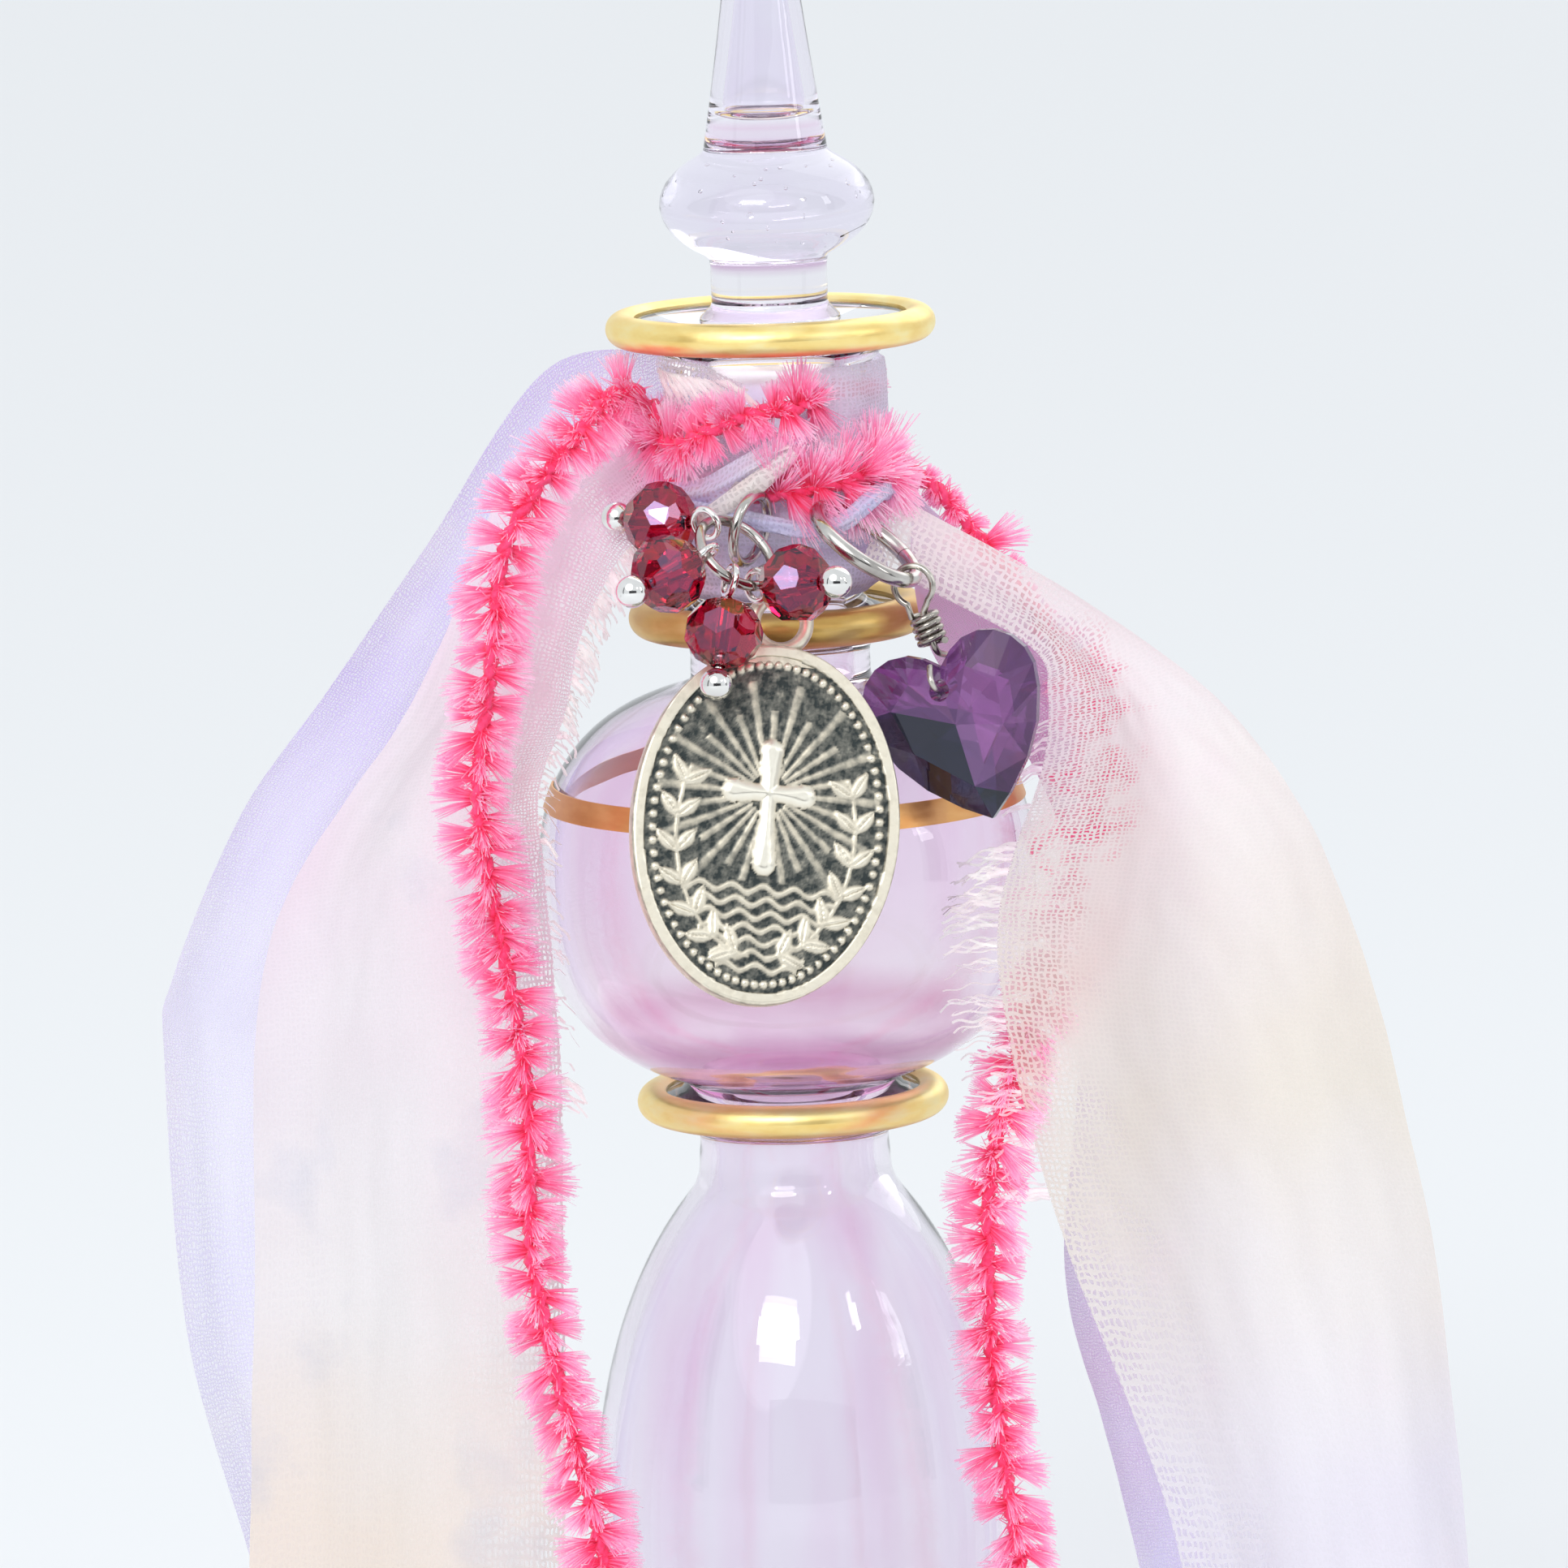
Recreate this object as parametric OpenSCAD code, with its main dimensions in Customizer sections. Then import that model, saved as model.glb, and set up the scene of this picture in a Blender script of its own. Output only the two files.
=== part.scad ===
/* [Foot and lower chamber] */
// Outer radius of the foot over its gilding
foot_r = 14; // [12:0.5:18]
// Radius of the flat face under the foot
foot_face_r = 9; // [6:0.5:9.5]
// Radius of the gilded bead on the foot
foot_tube = 1.2; // [0.8:0.1:1.5]
// Height of the foot bead above the table
foot_lift = 0.4; // [0.2:0.1:1]
// Height of the foot up to its stem
foot_h = 8; // [6:0.5:10]
// Radius of the stem above the foot
stem_r = 5; // [4:0.25:6.5]
// Widest radius of the lower chamber
body_r = 16.6; // [14:0.2:19]
// Height from the stem to the widest place of the lower chamber
body_low_h = 22; // [18:0.5:28]
// Height from that widest place to the collar
body_up_h = 35.2; // [32:0.4:40]
// Radius of the waist under the collar
waist_r = 7.4; // [6.5:0.1:8.5]
// Thickness of the glass floor of the lower chamber
floor_t = 3; // [2:0.5:5]
// Thickness of the blown glass wall
wall = 1.3; // [0.9:0.1:1.8]

/* [Collar and bulb] */
// Outer radius of the collar over its gilding
collar_r = 12.2; // [11:0.2:14]
// Radius of the gilded bead on the collar
collar_tube = 1.3; // [0.9:0.1:1.6]
// Radius of the throat between the collar and the bulb
throat_low_r = 8.2; // [7:0.1:9]
// Widest radius of the bulb
bulb_r = 19.4; // [17:0.2:21]
// Height from the collar to the widest place of the bulb
bulb_low_h = 17.3; // [15:0.3:20]
// Height from that widest place to the neck ring
bulb_up_h = 20.9; // [19:0.3:24]
// How square the bulb's outline is, where 2 is an ellipse
bulb_square = 2.5; // [2:0.1:3]
// Width of the gilded band round the bulb
band_w = 1.8; // [1:0.2:3]
// Height of the gilded band above the widest place of the bulb
band_rise = 7.2; // [4:0.2:9]
// Thickness of the gilded band
band_t = 0.15; // [0.1:0.05:0.3]

/* [Neck and mouth] */
// Radius of the throat above the bulb
throat_r = 7; // [6.6:0.1:8]
// Outer radius of the neck ring over its gilding
ring_r = 11.7; // [11:0.1:13]
// Radius of the gilded bead on the neck ring
ring_tube = 1.45; // [1:0.05:1.6]
// Height from the neck ring to the mouth
neck_h = 22.6; // [21:0.2:26]
// Outer radius of the neck
neck_r = 6.5; // [6:0.1:7]
// Outer radius of the mouth over its gilding
mouth_r = 12.8; // [11.5:0.1:15]
// Radius of the gilded bead on the mouth
mouth_tube = 1.3; // [0.9:0.1:1.6]
// Thickness of the glass discs that carry the gilded beads
disc_t = 1.4; // [1:0.1:1.6]
// How far a disc's edge reaches into its gilded bead
gild_seat = 0.33; // [0.2:0.01:0.5]
// Clearance between gilding and glass
gild_fit = 0.03; // [0.01:0.01:0.05]

/* [Stopper] */
// Radius of the ground bore at the mouth
bore_top_r = 4.85; // [4.5:0.05:5.2]
// Radius of the ground bore at its lower end
bore_low_r = 4.45; // [4:0.05:4.8]
// Length of the ground plug
plug_h = 13; // [8:0.5:15]
// Clearance of the ground plug in the bore
plug_fit = 0.05; // [0.02:0.01:0.1]
// Radius of the dabber rod
rod_r = 1.5; // [1:0.1:2]
// Length of the dabber rod below the plug
rod_h = 7; // [4:0.5:9]
// Radius of the seat above the mouth
seat_r = 5.5; // [5.2:0.1:6.5]
// Radius of the stopper's clear stem
shank_r = 4.5; // [3.5:0.1:5]
// Height of the clear stem under the ball
shank_h = 5.5; // [4:0.5:8]
// Radius of the stopper's ball
ball_r = 8.3; // [7:0.1:10]
// Half height of the stopper's ball
ball_half_h = 4.8; // [4:0.1:7]
// Radius of the spire at the ball
spire_r = 4.7; // [4:0.1:5.5]
// Radius of the spire's tip
tip_r = 1; // [0.7:0.1:1.5]
// Height of the spire above the ball's middle
spire_h = 42.5; // [30:0.5:50]
// Wall of the hollow spire
spire_wall = 1; // [0.8:0.1:1.2]

/* [Neck dressing] */
// Thickness of the chiffon wound round the neck
wrap_t = 2.1; // [1.6:0.1:2.6]
// Height of the chiffon wound round the neck
wrap_h = 10.6; // [9:0.2:11.2]
// Number of rolled folds in the wound chiffon
wrap_folds = 3; // [2:1:5]
// Thickness of the organza wound above the chiffon
veil_t = 0.6; // [0.4:0.1:0.9]
// Height of the organza wound above the chiffon
veil_h = 4.6; // [3:0.2:5]
// Gap between windings and what they lie on
wind_gap = 0.15; // [0.1:0.05:0.3]
// Half thickness of the rolled chiffon tie
tie_half = 0.8; // [0.6:0.05:0.9]
// Room between the tie and the neck for the rings
tie_room = 2; // [1.9:0.1:2.6]
// Height of the tie above the neck ring
tie_rise = 8.9; // [8:0.1:9.6]
// Diameter of the eyelash yarn's core
yarn_d = 1.6; // [1:0.1:1.8]
// Turns of yarn round the neck
yarn_turns = 1.5; // [1.2:0.1:1.6]
// Rise of the yarn in one turn
yarn_pitch = 4.2; // [3.6:0.1:4.6]
// Height of the yarn's lower end above the neck ring
yarn_rise = 11.6; // [11.4:0.1:13]
// Thickness of the chiffon tails
chiffon_t = 0.6; // [0.4:0.1:0.8]
// Depth of the folds in the chiffon tails
chiffon_fold = 1.3; // [0.6:0.1:1.6]
// Number of folds across a chiffon tail
chiffon_folds = 2.5; // [1.5:0.5:3.5]
// Thickness of the organza tails
organza_t = 0.5; // [0.4:0.1:0.7]
// Depth of the ripple in the organza tails
organza_fold = 0.7; // [0.3:0.1:1]
// Gap kept between hanging cloth and the glass
cloth_gap = 1; // [0.5:0.1:2]
// Height of the tails' ends above the table
tail_lift = 8; // [4:0.5:14]

/* [Jump rings] */
// Wire of the hanger ring and the cluster ring
ring_wire = 0.84; // [0.6:0.02:0.9]
// Radius of the hanger ring at the middle of its wire
hanger_r = 2.65; // [2.6:0.05:2.8]
// Radius of the cluster ring at the middle of its wire
cluster_r = 3.2; // [3.1:0.05:3.4]
// Wire of the large charm ring
charm_wire = 1.24; // [1:0.02:1.3]
// Radius of the charm ring at the middle of its wire
charm_r = 4.45; // [4.2:0.05:4.7]
// Wire of the medal's ring
medal_wire = 0.6; // [0.5:0.02:0.66]
// Radius of the medal's ring at the middle of its wire
medal_ring_r = 1.75; // [1.7:0.05:1.8]
// Clearance where one wire hangs on another
hang_fit = 0.14; // [0.1:0.02:0.16]

/* [Bead drops] */
// Diameter of a red bead
bead_d = 6; // [4.6:0.1:6.2]
// Length of a red bead along its hole
bead_len = 5.5; // [4.5:0.1:5.8]
// Facets round a bead
bead_sides = 10; // [6:1:12]
// Diameter of the hole through a bead
bead_hole = 1; // [0.8:0.1:1.4]
// Wire of a head pin
pin_wire = 0.54; // [0.4:0.02:0.6]
// Radius of a head pin's eye at the middle of its wire
pin_eye_r = 1.15; // [1.1:0.05:1.3]
// Diameter of a head pin's ball
pin_ball = 2.5; // [1.8:0.1:2.8]
// Gap between a bead and the eye and ball beside it
pin_gap = 0.12; // [0.08:0.02:0.3]
// Place of each drop round the cluster ring
drop_at = [198, 266, 357, 314]; // [0:1:360]
// Heading of each drop, seen from above
drop_heading = [144, 228, 315, 252]; // [0:1:360]
// Dip of each drop below the level
drop_dip = [0, 12, -6, 61]; // [-20:1:80]

/* [Medal] */
// Half width of the medal
medal_half_w = 10.3; // [8.5:0.1:11]
// Half height of the medal
medal_half_h = 13.8; // [11:0.1:14.5]
// Thickness of the medal's field
medal_t = 1.3; // [1:0.1:1.5]
// Width of the medal's raised rim
medal_rim_w = 0.9; // [0.6:0.1:1.4]
// Height of the rim and the relief over the field
medal_relief = 0.25; // [0.15:0.05:0.35]
// Radius of the hole in the medal's eye
medal_hole_r = 1.5; // [1.45:0.05:1.6]
// Width of the metal round that hole
medal_eye_w = 1.1; // [0.9:0.05:1.2]
// Number of rays round the cross
medal_rays = 16; // [8:2:24]
// Gap between the leaning medal and the bulb
medal_gap = 0.35; // [0.2:0.05:0.6]
// Sideways slant of the hanging medal
medal_slant = 9; // [7:0.5:11]
// Turn of the medal from facing straight forward
medal_turn = 11; // [10:0.5:12]
// Place of the medal's ring round the cluster ring
medal_at = 32; // [31:1:33]

/* [Crystal heart] */
// Width of the heart
heart_w = 14.4; // [12:0.2:15]
// Height of the heart
heart_h = 14; // [12:0.2:15]
// Thickness of the heart
heart_t = 5.6; // [4:0.2:6]
// Thickness of the heart's girdle
heart_girdle = 1.6; // [1:0.1:2]
// Radius of the hole through the heart
heart_hole_r = 0.8; // [0.6:0.05:1]
// Wire of the heart's hanger
heart_wire_d = 0.52; // [0.4:0.02:0.54]
// Radius of the loop in that wire
heart_loop_r = 1.55; // [1.45:0.05:1.7]
// Turns of the wire wrap
wrap_turns = 2.5; // [2:0.5:3]
// Pitch of the wire wrap
wrap_pitch = 0.98; // [0.96:0.01:1.1]
// Sideways slant of the hanging heart
heart_slant = 19; // [16:0.5:21]
// Gap between the heart and the bulb
heart_gap = 0.4; // [0.3:0.05:0.8]

/* [Hidden] */
$fn = 48;

// Heights of the glass, stacked from the table
body_z = foot_h + body_low_h;
collar_z = body_z + body_up_h;
bulb_z = collar_z + bulb_low_h;
ring_z = bulb_z + bulb_up_h;
mouth_z = ring_z + neck_h;
foot_bead_z = foot_tube + foot_lift;
floor_z = foot_h + floor_t;
disc_half = disc_t / 2;
// Ends of the chamber curves, past which the throats take over
body_close = body_up_h - 3.2;
body_open = body_low_h + 2;
bulb_close_low = bulb_low_h - 1.1;
bulb_close_up = bulb_up_h - 4.7;
// Softness of the join between a chamber and its throat
glass_blend = 0.9;
// Height over which a disc flares out of its throat
flare_h = 3.4;
// Height over which the neck flares to the mouth
mouth_flare_h = 11;

// Stopper heights
dish_drop = 1.5;
plug_top = mouth_z - dish_drop;
plug_low = plug_top - plug_h;
rod_tip = plug_low - rod_h;
shank_z = mouth_z + 1.8;
ball_z = shank_z + shank_h + ball_half_h - 2.6;
spire_top = ball_z + spire_h;
spire_base = ball_z + ball_half_h;

// Neck dressing places
wrap_r = neck_r + wrap_t;
tie_r = wrap_r + tie_room + tie_half;
tie_z = ring_z + tie_rise;
wrap_z = ring_z + ring_tube + 0.4;
veil_z = wrap_z + wrap_h + 0.3;
yarn_r = wrap_r + yarn_d / 2 + wind_gap;
yarn_z = ring_z + yarn_rise;
yarn_end_angle = -30;

// Jump ring places and the tilt of their planes
hanger_c = [-2, -tie_r - 0.65, tie_z - 0.65];
hanger_lean = 78;
hanger_turn = 152;
cluster_c = hanger_c + [-1.1, -3.7, -1.35];
cluster_lean = 47;
cluster_turn = -44;
charm_c = [6.8, -tie_r - 1.2, tie_z - 2];
charm_lean = 37;
charm_turn = -19;
medal_ring_lean = 70;
medal_ring_turn = 30;

// Route of the tie: turn from the front, step from its radius, step from its height
tie_route = [[-58, -1.7, 1.1], [-42, -0.6, 0.9], [-27, 0, 0.5], [-13, 0, 0], [0, 0, -0.6],
    [13, 0.3, -1], [25, 0.7, -0.4], [37, 0.4, 0.9], [49, -0.5, 1.4], [57, -1, 1]];

// Edges of the tails, row by row from the neck: across, depth, height above the neck ring
chiffon_left_outer = [[-10.5, -1, 13.5], [-20, 1, 12], [-24.5, 2, 3], [-29.5, 4, -7], [-36, 6, -16],
    [-40.5, 7, -24.5], [-42.5, 8, -35], [-43, 8, -55], [-44, 8, -76], [-44.5, 8, -95]];
chiffon_left_inner = [[-8.5, -5.5, 7.5], [-11.5, -10.5, 6.5], [-14.5, -12, 1], [-16.5, -12, -6],
    [-18.5, -11, -11.5], [-18.5, -10.5, -19], [-18, -11, -32], [-18.5, -11, -51], [-19, -11, -73],
    [-19.5, -11, -95]];
chiffon_right_outer = [[10.5, -1, 9.5], [21.5, -3, 2], [31, -2, -5], [36.5, 0, -11], [41.5, 0, -19.5],
    [45.5, 0, -30.5], [48, 0, -41.5], [50.5, 0, -54.5], [52.5, 0, -77], [53.5, 0, -93]];
chiffon_right_inner = [[9.5, -4.5, 4.5], [19.5, -7.5, -2], [22, -7.5, -6], [21.5, -8.5, -11.5],
    [18, -11.5, -17.5], [16, -15.5, -24.5], [17.5, -15.5, -36], [21, -14, -49.5], [28.6, -11, -72],
    [31, -10, -93]];
organza_left_outer = [[-11, 2.5, 17.5], [-22.5, 6, 12.5], [-29, 8, 2.5], [-36, 10, -7], [-43, 12, -16.5],
    [-49, 13, -29.5], [-50, 13, -36], [-49, 13, -59], [-44.5, 13, -78], [-41, 13, -96]];
organza_left_inner = [[-10.2, 4.5, 14], [-17.5, 8.5, 8], [-22.5, 11, -2], [-27, 13, -12], [-33, 15, -20.5],
    [-37.5, 17, -31.5], [-38.5, 17, -38.5], [-37.5, 17, -59.5], [-33, 17, -78.5], [-29.5, 17, -96]];
organza_right_outer = [[10.8, 4, 17], [17.5, 5, 10], [26, 5, -3.5], [31, 6, -13], [33, 7, -23],
    [33.5, 8, -37.5], [32.5, 9, -54.5], [34.5, 9, -67], [38, 9, -79], [41.5, 9, -96]];
organza_right_inner = [[11, 1.5, 13.5], [13.5, 1, 4], [18.5, 0, -7], [22, 0, -15], [23.5, 0, -24],
    [22.5, 0, -35.5], [21.5, 0, -52.5], [24.5, 0, -64.5], [28.5, 0, -77], [32, 0, -96]];

// Routes of the yarn's free tails, in the part's frame
yarn_left_route = [[-10.2, -3.6, 121.6], [-12.6, -5.6, 121.4], [-15, -9.5, 119], [-18.5, -12.5, 115],
    [-21, -13.5, 110], [-22, -13, 103], [-23, -12.5, 96.5], [-23.5, -12.5, 91], [-23, -12.5, 86],
    [-22, -13, 80], [-21, -14, 74], [-20.5, -14, 68.5], [-20.5, -14, 62], [-20.5, -14, 55.5],
    [-19.5, -14.5, 50], [-18.5, -15, 45], [-17, -15, 38.5], [-15.5, -15, 31],
    [-14.5, -15.5, 22], [-14, -16, 12]];
yarn_right_route = [[8.6, -4.2, 115], [9.6, -2.6, 114.7], [11.2, -1, 114], [13.6, 0, 111.6],
    [16.8, 0.6, 107.4], [20.6, 1, 102.2], [24.2, 0.6, 95.5], [25.5, -0.5, 89.5], [24, -4, 83.5],
    [21, -9, 78], [18.5, -12.5, 73], [16.5, -14.5, 68], [15.2, -15.5, 63], [14.6, -15.5, 56.5],
    [14.6, -15.5, 50], [15, -15.5, 44], [15.6, -15.5, 37.5], [16.5, -15.5, 30], [17, -15.5, 22],
    [17.2, -15.5, 14]];

// Sampling of the curves
body_steps = 22;
bulb_steps = 26;
neck_steps = 8;
spire_steps = 12;
tail_rows = 3;
chiffon_cols = 10;
organza_cols = 4;
yarn_sides = 8;
wire_sides = 6;

function unit(v) = v / norm(v);
function smax(a, b, k) = (a + b + sqrt((a - b) * (a - b) + k * k)) / 2;
function between(a, b, n) = [for (i = [0:n]) a + (b - a) * i / n];

// Curve through a list of points
function curve_step(p0, p1, p2, p3, t) =
    0.5 * (2 * p1 + (p2 - p0) * t + (2 * p0 - 5 * p1 + 4 * p2 - p3) * t * t
    + (3 * p1 - p0 - 3 * p2 + p3) * t * t * t);
function curve_at(pts, s) =
    let (n = len(pts) - 1, i = min(n - 1, floor(s)))
    curve_step(pts[max(0, i - 1)], pts[i], pts[i + 1], pts[min(n, i + 2)], s - i);
function curve(pts, per) = [for (i = [0:(len(pts) - 1) * per]) curve_at(pts, i / per)];

// Radius where a disc's edge sits in its gilded bead
function edge_r(outer, tube) = outer - 2 * tube + gild_seat;

// Outer radius of the glass without its discs
function body_curve(z) = z < body_z
    ? body_r * sqrt(max(0, 1 - pow((body_z - z) / body_open, 2)))
    : body_r * sqrt(max(0, 1 - pow((z - body_z) / body_close, 2)));
function bulb_curve(z) = bulb_r * pow(max(0, 1 - pow(z < bulb_z
    ? (bulb_z - z) / bulb_close_low : (z - bulb_z) / bulb_close_up, bulb_square)), 1 / bulb_square);
function neck_curve(z) = neck_r + (edge_r(mouth_r, mouth_tube) - neck_r)
    * pow(max(0, 1 - (mouth_z - disc_half - z) / mouth_flare_h), 5);
function glass_r(z) = z < body_z ? smax(body_curve(z), stem_r, glass_blend)
    : z < collar_z ? smax(body_curve(z), waist_r, glass_blend)
    : z < bulb_z ? smax(bulb_curve(z), throat_low_r, glass_blend)
    : z < ring_z ? smax(bulb_curve(z), throat_r, glass_blend)
    : neck_curve(z);

// Underside of a disc flaring out of a throat, and its rim
function disc_points(r0, outer, tube, z) = concat(
    [for (t = between(0, 1, 5))
        [r0 + (edge_r(outer, tube) - r0) * pow(t, 3), z - flare_h + (flare_h - disc_half) * t]],
    [[edge_r(outer, tube), z + disc_half]]);

function outer_points() = concat(
    [[0, 0], [foot_face_r, 0], [edge_r(foot_r, foot_tube), foot_bead_z - disc_half],
        [edge_r(foot_r, foot_tube), foot_bead_z + disc_half]],
    [for (t = [0.2, 0.4, 0.6, 0.8]) [stem_r + (edge_r(foot_r, foot_tube) - stem_r) * pow(1 - t, 2.4),
        foot_bead_z + disc_half + (foot_h - foot_bead_z - disc_half) * t]],
    [for (z = between(foot_h, collar_z - flare_h - 0.6, body_steps)) [glass_r(z), z]],
    disc_points(waist_r, collar_r, collar_tube, collar_z),
    [[throat_low_r + 0.5, collar_z + disc_half + 0.4]],
    [for (z = between(collar_z + disc_half + 0.9, ring_z - flare_h - 0.4, bulb_steps)) [glass_r(z), z]],
    disc_points(throat_r, ring_r, ring_tube, ring_z),
    [[neck_r + 0.5, ring_z + disc_half + 0.4]],
    [for (z = between(ring_z + disc_half + 1, mouth_z - disc_half, neck_steps)) [glass_r(z), z]],
    [[edge_r(mouth_r, mouth_tube), mouth_z + disc_half]]);

function inner_points() = concat(
    [[bore_top_r + 1, mouth_z - 0.5], [bore_top_r, plug_top], [bore_low_r, plug_low],
        [neck_r - wall, plug_low - 1]],
    [for (z = between(ring_z, collar_z + 0.2, bulb_steps)) [(z < ring_z ? glass_r(z) : neck_r) - wall, z]],
    [for (z = between(collar_z - 0.2, floor_z, body_steps)) [glass_r(z) - wall, z]],
    [[0, floor_z]]);

module bottle_glass() {
    color([0.86, 0.75, 0.88, 0.6]) rotate_extrude() polygon(concat(outer_points(), inner_points()));
}

module gilded_bead(outer, tube, z) {
    color("goldenrod") difference() {
        translate([0, 0, z]) rotate_extrude() translate([outer - tube, 0]) circle(tube);
        translate([0, 0, z - tube]) cylinder(r = edge_r(outer, tube) + gild_fit, h = 2 * tube);
    }
}

module foot_gilding() { gilded_bead(foot_r, foot_tube, foot_bead_z); }

module collar_gilding() { gilded_bead(collar_r, collar_tube, collar_z); }

module neck_ring_gilding() { gilded_bead(ring_r, ring_tube, ring_z); }

module mouth_gilding() { gilded_bead(mouth_r, mouth_tube, mouth_z); }

module bulb_band_gilding() {
    levels = between(bulb_z + band_rise - band_w / 2, bulb_z + band_rise + band_w / 2, 6);
    inner = [for (z = levels) [glass_r(z) + gild_fit, z]];
    outer = [for (i = [6:-1:0]) [glass_r(levels[i]) + gild_fit + band_t, levels[i]]];
    color("goldenrod") rotate_extrude() polygon(concat(inner, outer));
}

// Outline of the stopper above its seat: shank, ball and spire
function ball_curve(z) = ball_r * sqrt(max(0, 1 - pow((z - ball_z) / ball_half_h, 2)));
function spire_curve(z) =
    tip_r + (spire_r - tip_r) * pow(max(0, (spire_top - z) / (spire_top - spire_base)), 1.7);
function stopper_r(z) = z < ball_z ? smax(ball_curve(z), shank_r, 0.6)
    : smax(ball_curve(z), min(spire_r, spire_curve(z)), 0.6);

module stopper() {
    plug_top_r = bore_top_r - plug_fit;
    plug_low_r = bore_low_r - plug_fit;
    outline = concat(
        [[0, rod_tip], [rod_r * 0.7, rod_tip + 0.4], [rod_r, rod_tip + 1.3], [rod_r, plug_low - 1],
            [plug_low_r - 0.4, plug_low], [plug_low_r, plug_low + 0.5], [plug_top_r, plug_top],
            [seat_r, mouth_z + 0.5], [seat_r - 0.3, mouth_z + 1], [shank_r, shank_z]],
        [for (z = between(shank_z + 0.6, spire_base, 20)) [stopper_r(z), z]],
        [for (z = between(spire_base + 1, spire_top - tip_r, spire_steps)) [stopper_r(z), z]],
        [[tip_r * 0.75, spire_top - tip_r * 0.35], [0, spire_top]]);
    cavity_low = spire_base + 1.6;
    cavity_top = spire_top - 6;
    cavity = concat([[0, cavity_low]],
        [for (z = between(cavity_low + 0.7, cavity_top, 8)) [max(0.3, spire_curve(z) - spire_wall), z]],
        [[0, cavity_top + 0.5]]);
    color([0.86, 0.84, 0.94, 0.7]) difference() {
        rotate_extrude() polygon(outline);
        rotate_extrude() polygon(cavity);
    }
}

module chiffon_neck_wrap() {
    levels = between(wrap_z, wrap_z + wrap_h, wrap_folds * 6);
    outer = [for (z = levels) [wrap_r - 0.5 + 0.5 * abs(sin(180 * wrap_folds * (z - wrap_z) / wrap_h)), z]];
    inner = [[neck_curve(wrap_z + wrap_h) + wind_gap, wrap_z + wrap_h], [neck_r + 0.5 + wind_gap, wrap_z]];
    color([0.84, 0.83, 0.92]) rotate_extrude() polygon(concat(outer, inner));
}

module organza_neck_wrap() {
    levels = between(veil_z, veil_z + veil_h, 5);
    inner = [for (z = levels) [neck_curve(z) + wind_gap, z]];
    outer = [for (i = [5:-1:0]) [neck_curve(levels[i]) + wind_gap + veil_t, levels[i]]];
    color([0.8, 0.78, 0.92]) rotate_extrude() polygon(concat(inner, outer));
}

// Unbroken tube along a path, with a given section
module tube(path, section) {
    n = len(path);
    m = len(section);
    dirs = [for (i = [0:n - 1]) unit(path[min(n - 1, i + 1)] - path[max(0, i - 1)])];
    first = unit(cross(dirs[0], abs(dirs[0].z) < 0.8 ? [0, 0, 1] : [1, 0, 0]));
    sides = [for (i = 0, v = first; i < n; i = i + 1, v = i < n ? unit(v - dirs[i] * (v * dirs[i])) : v) v];
    points = [for (i = [0:n - 1]) for (s = section)
        path[i] + sides[i] * s.x + cross(dirs[i], sides[i]) * s.y];
    walls = [for (i = [0:n - 2]) for (j = [0:m - 1]) for (k = [0, 1])
        let (a = i * m + j, b = i * m + (j + 1) % m) k == 0 ? [a, a + m, b + m] : [a, b + m, b]];
    e = (n - 1) * m;
    caps = [for (j = [1:m - 2]) for (k = [0, 1]) k == 0 ? [0, j, j + 1] : [e, e + j + 1, e + j]];
    polyhedron(points, concat(walls, caps), convexity = 10);
}

function round_section(r, sides) = [for (j = [0:sides - 1]) r * [cos(360 * j / sides), sin(360 * j / sides)]];

module chiffon_tie() {
    route = [for (p = tie_route) [(tie_r + p.y) * sin(p.x), -(tie_r + p.y) * cos(p.x), tie_z + p.z]];
    rolled = [for (j = [0:9]) tie_half * (j % 2 == 0 ? 1 : 0.82) * [cos(36 * j), sin(36 * j)]];
    color([0.86, 0.84, 0.92]) tube(curve(route, 3), rolled);
}

// Cloth keeps off the glass and the table
function off_glass(p) = let (r = norm([p.x, p.y]), least = glass_r(max(0, p.z)) + cloth_gap)
    r < least ? [p.x * least / r, p.y * least / r, p.z] : p;
function hung(p) = off_glass([p.x, p.y, max(tail_lift, ring_z + p.z)]);

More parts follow.
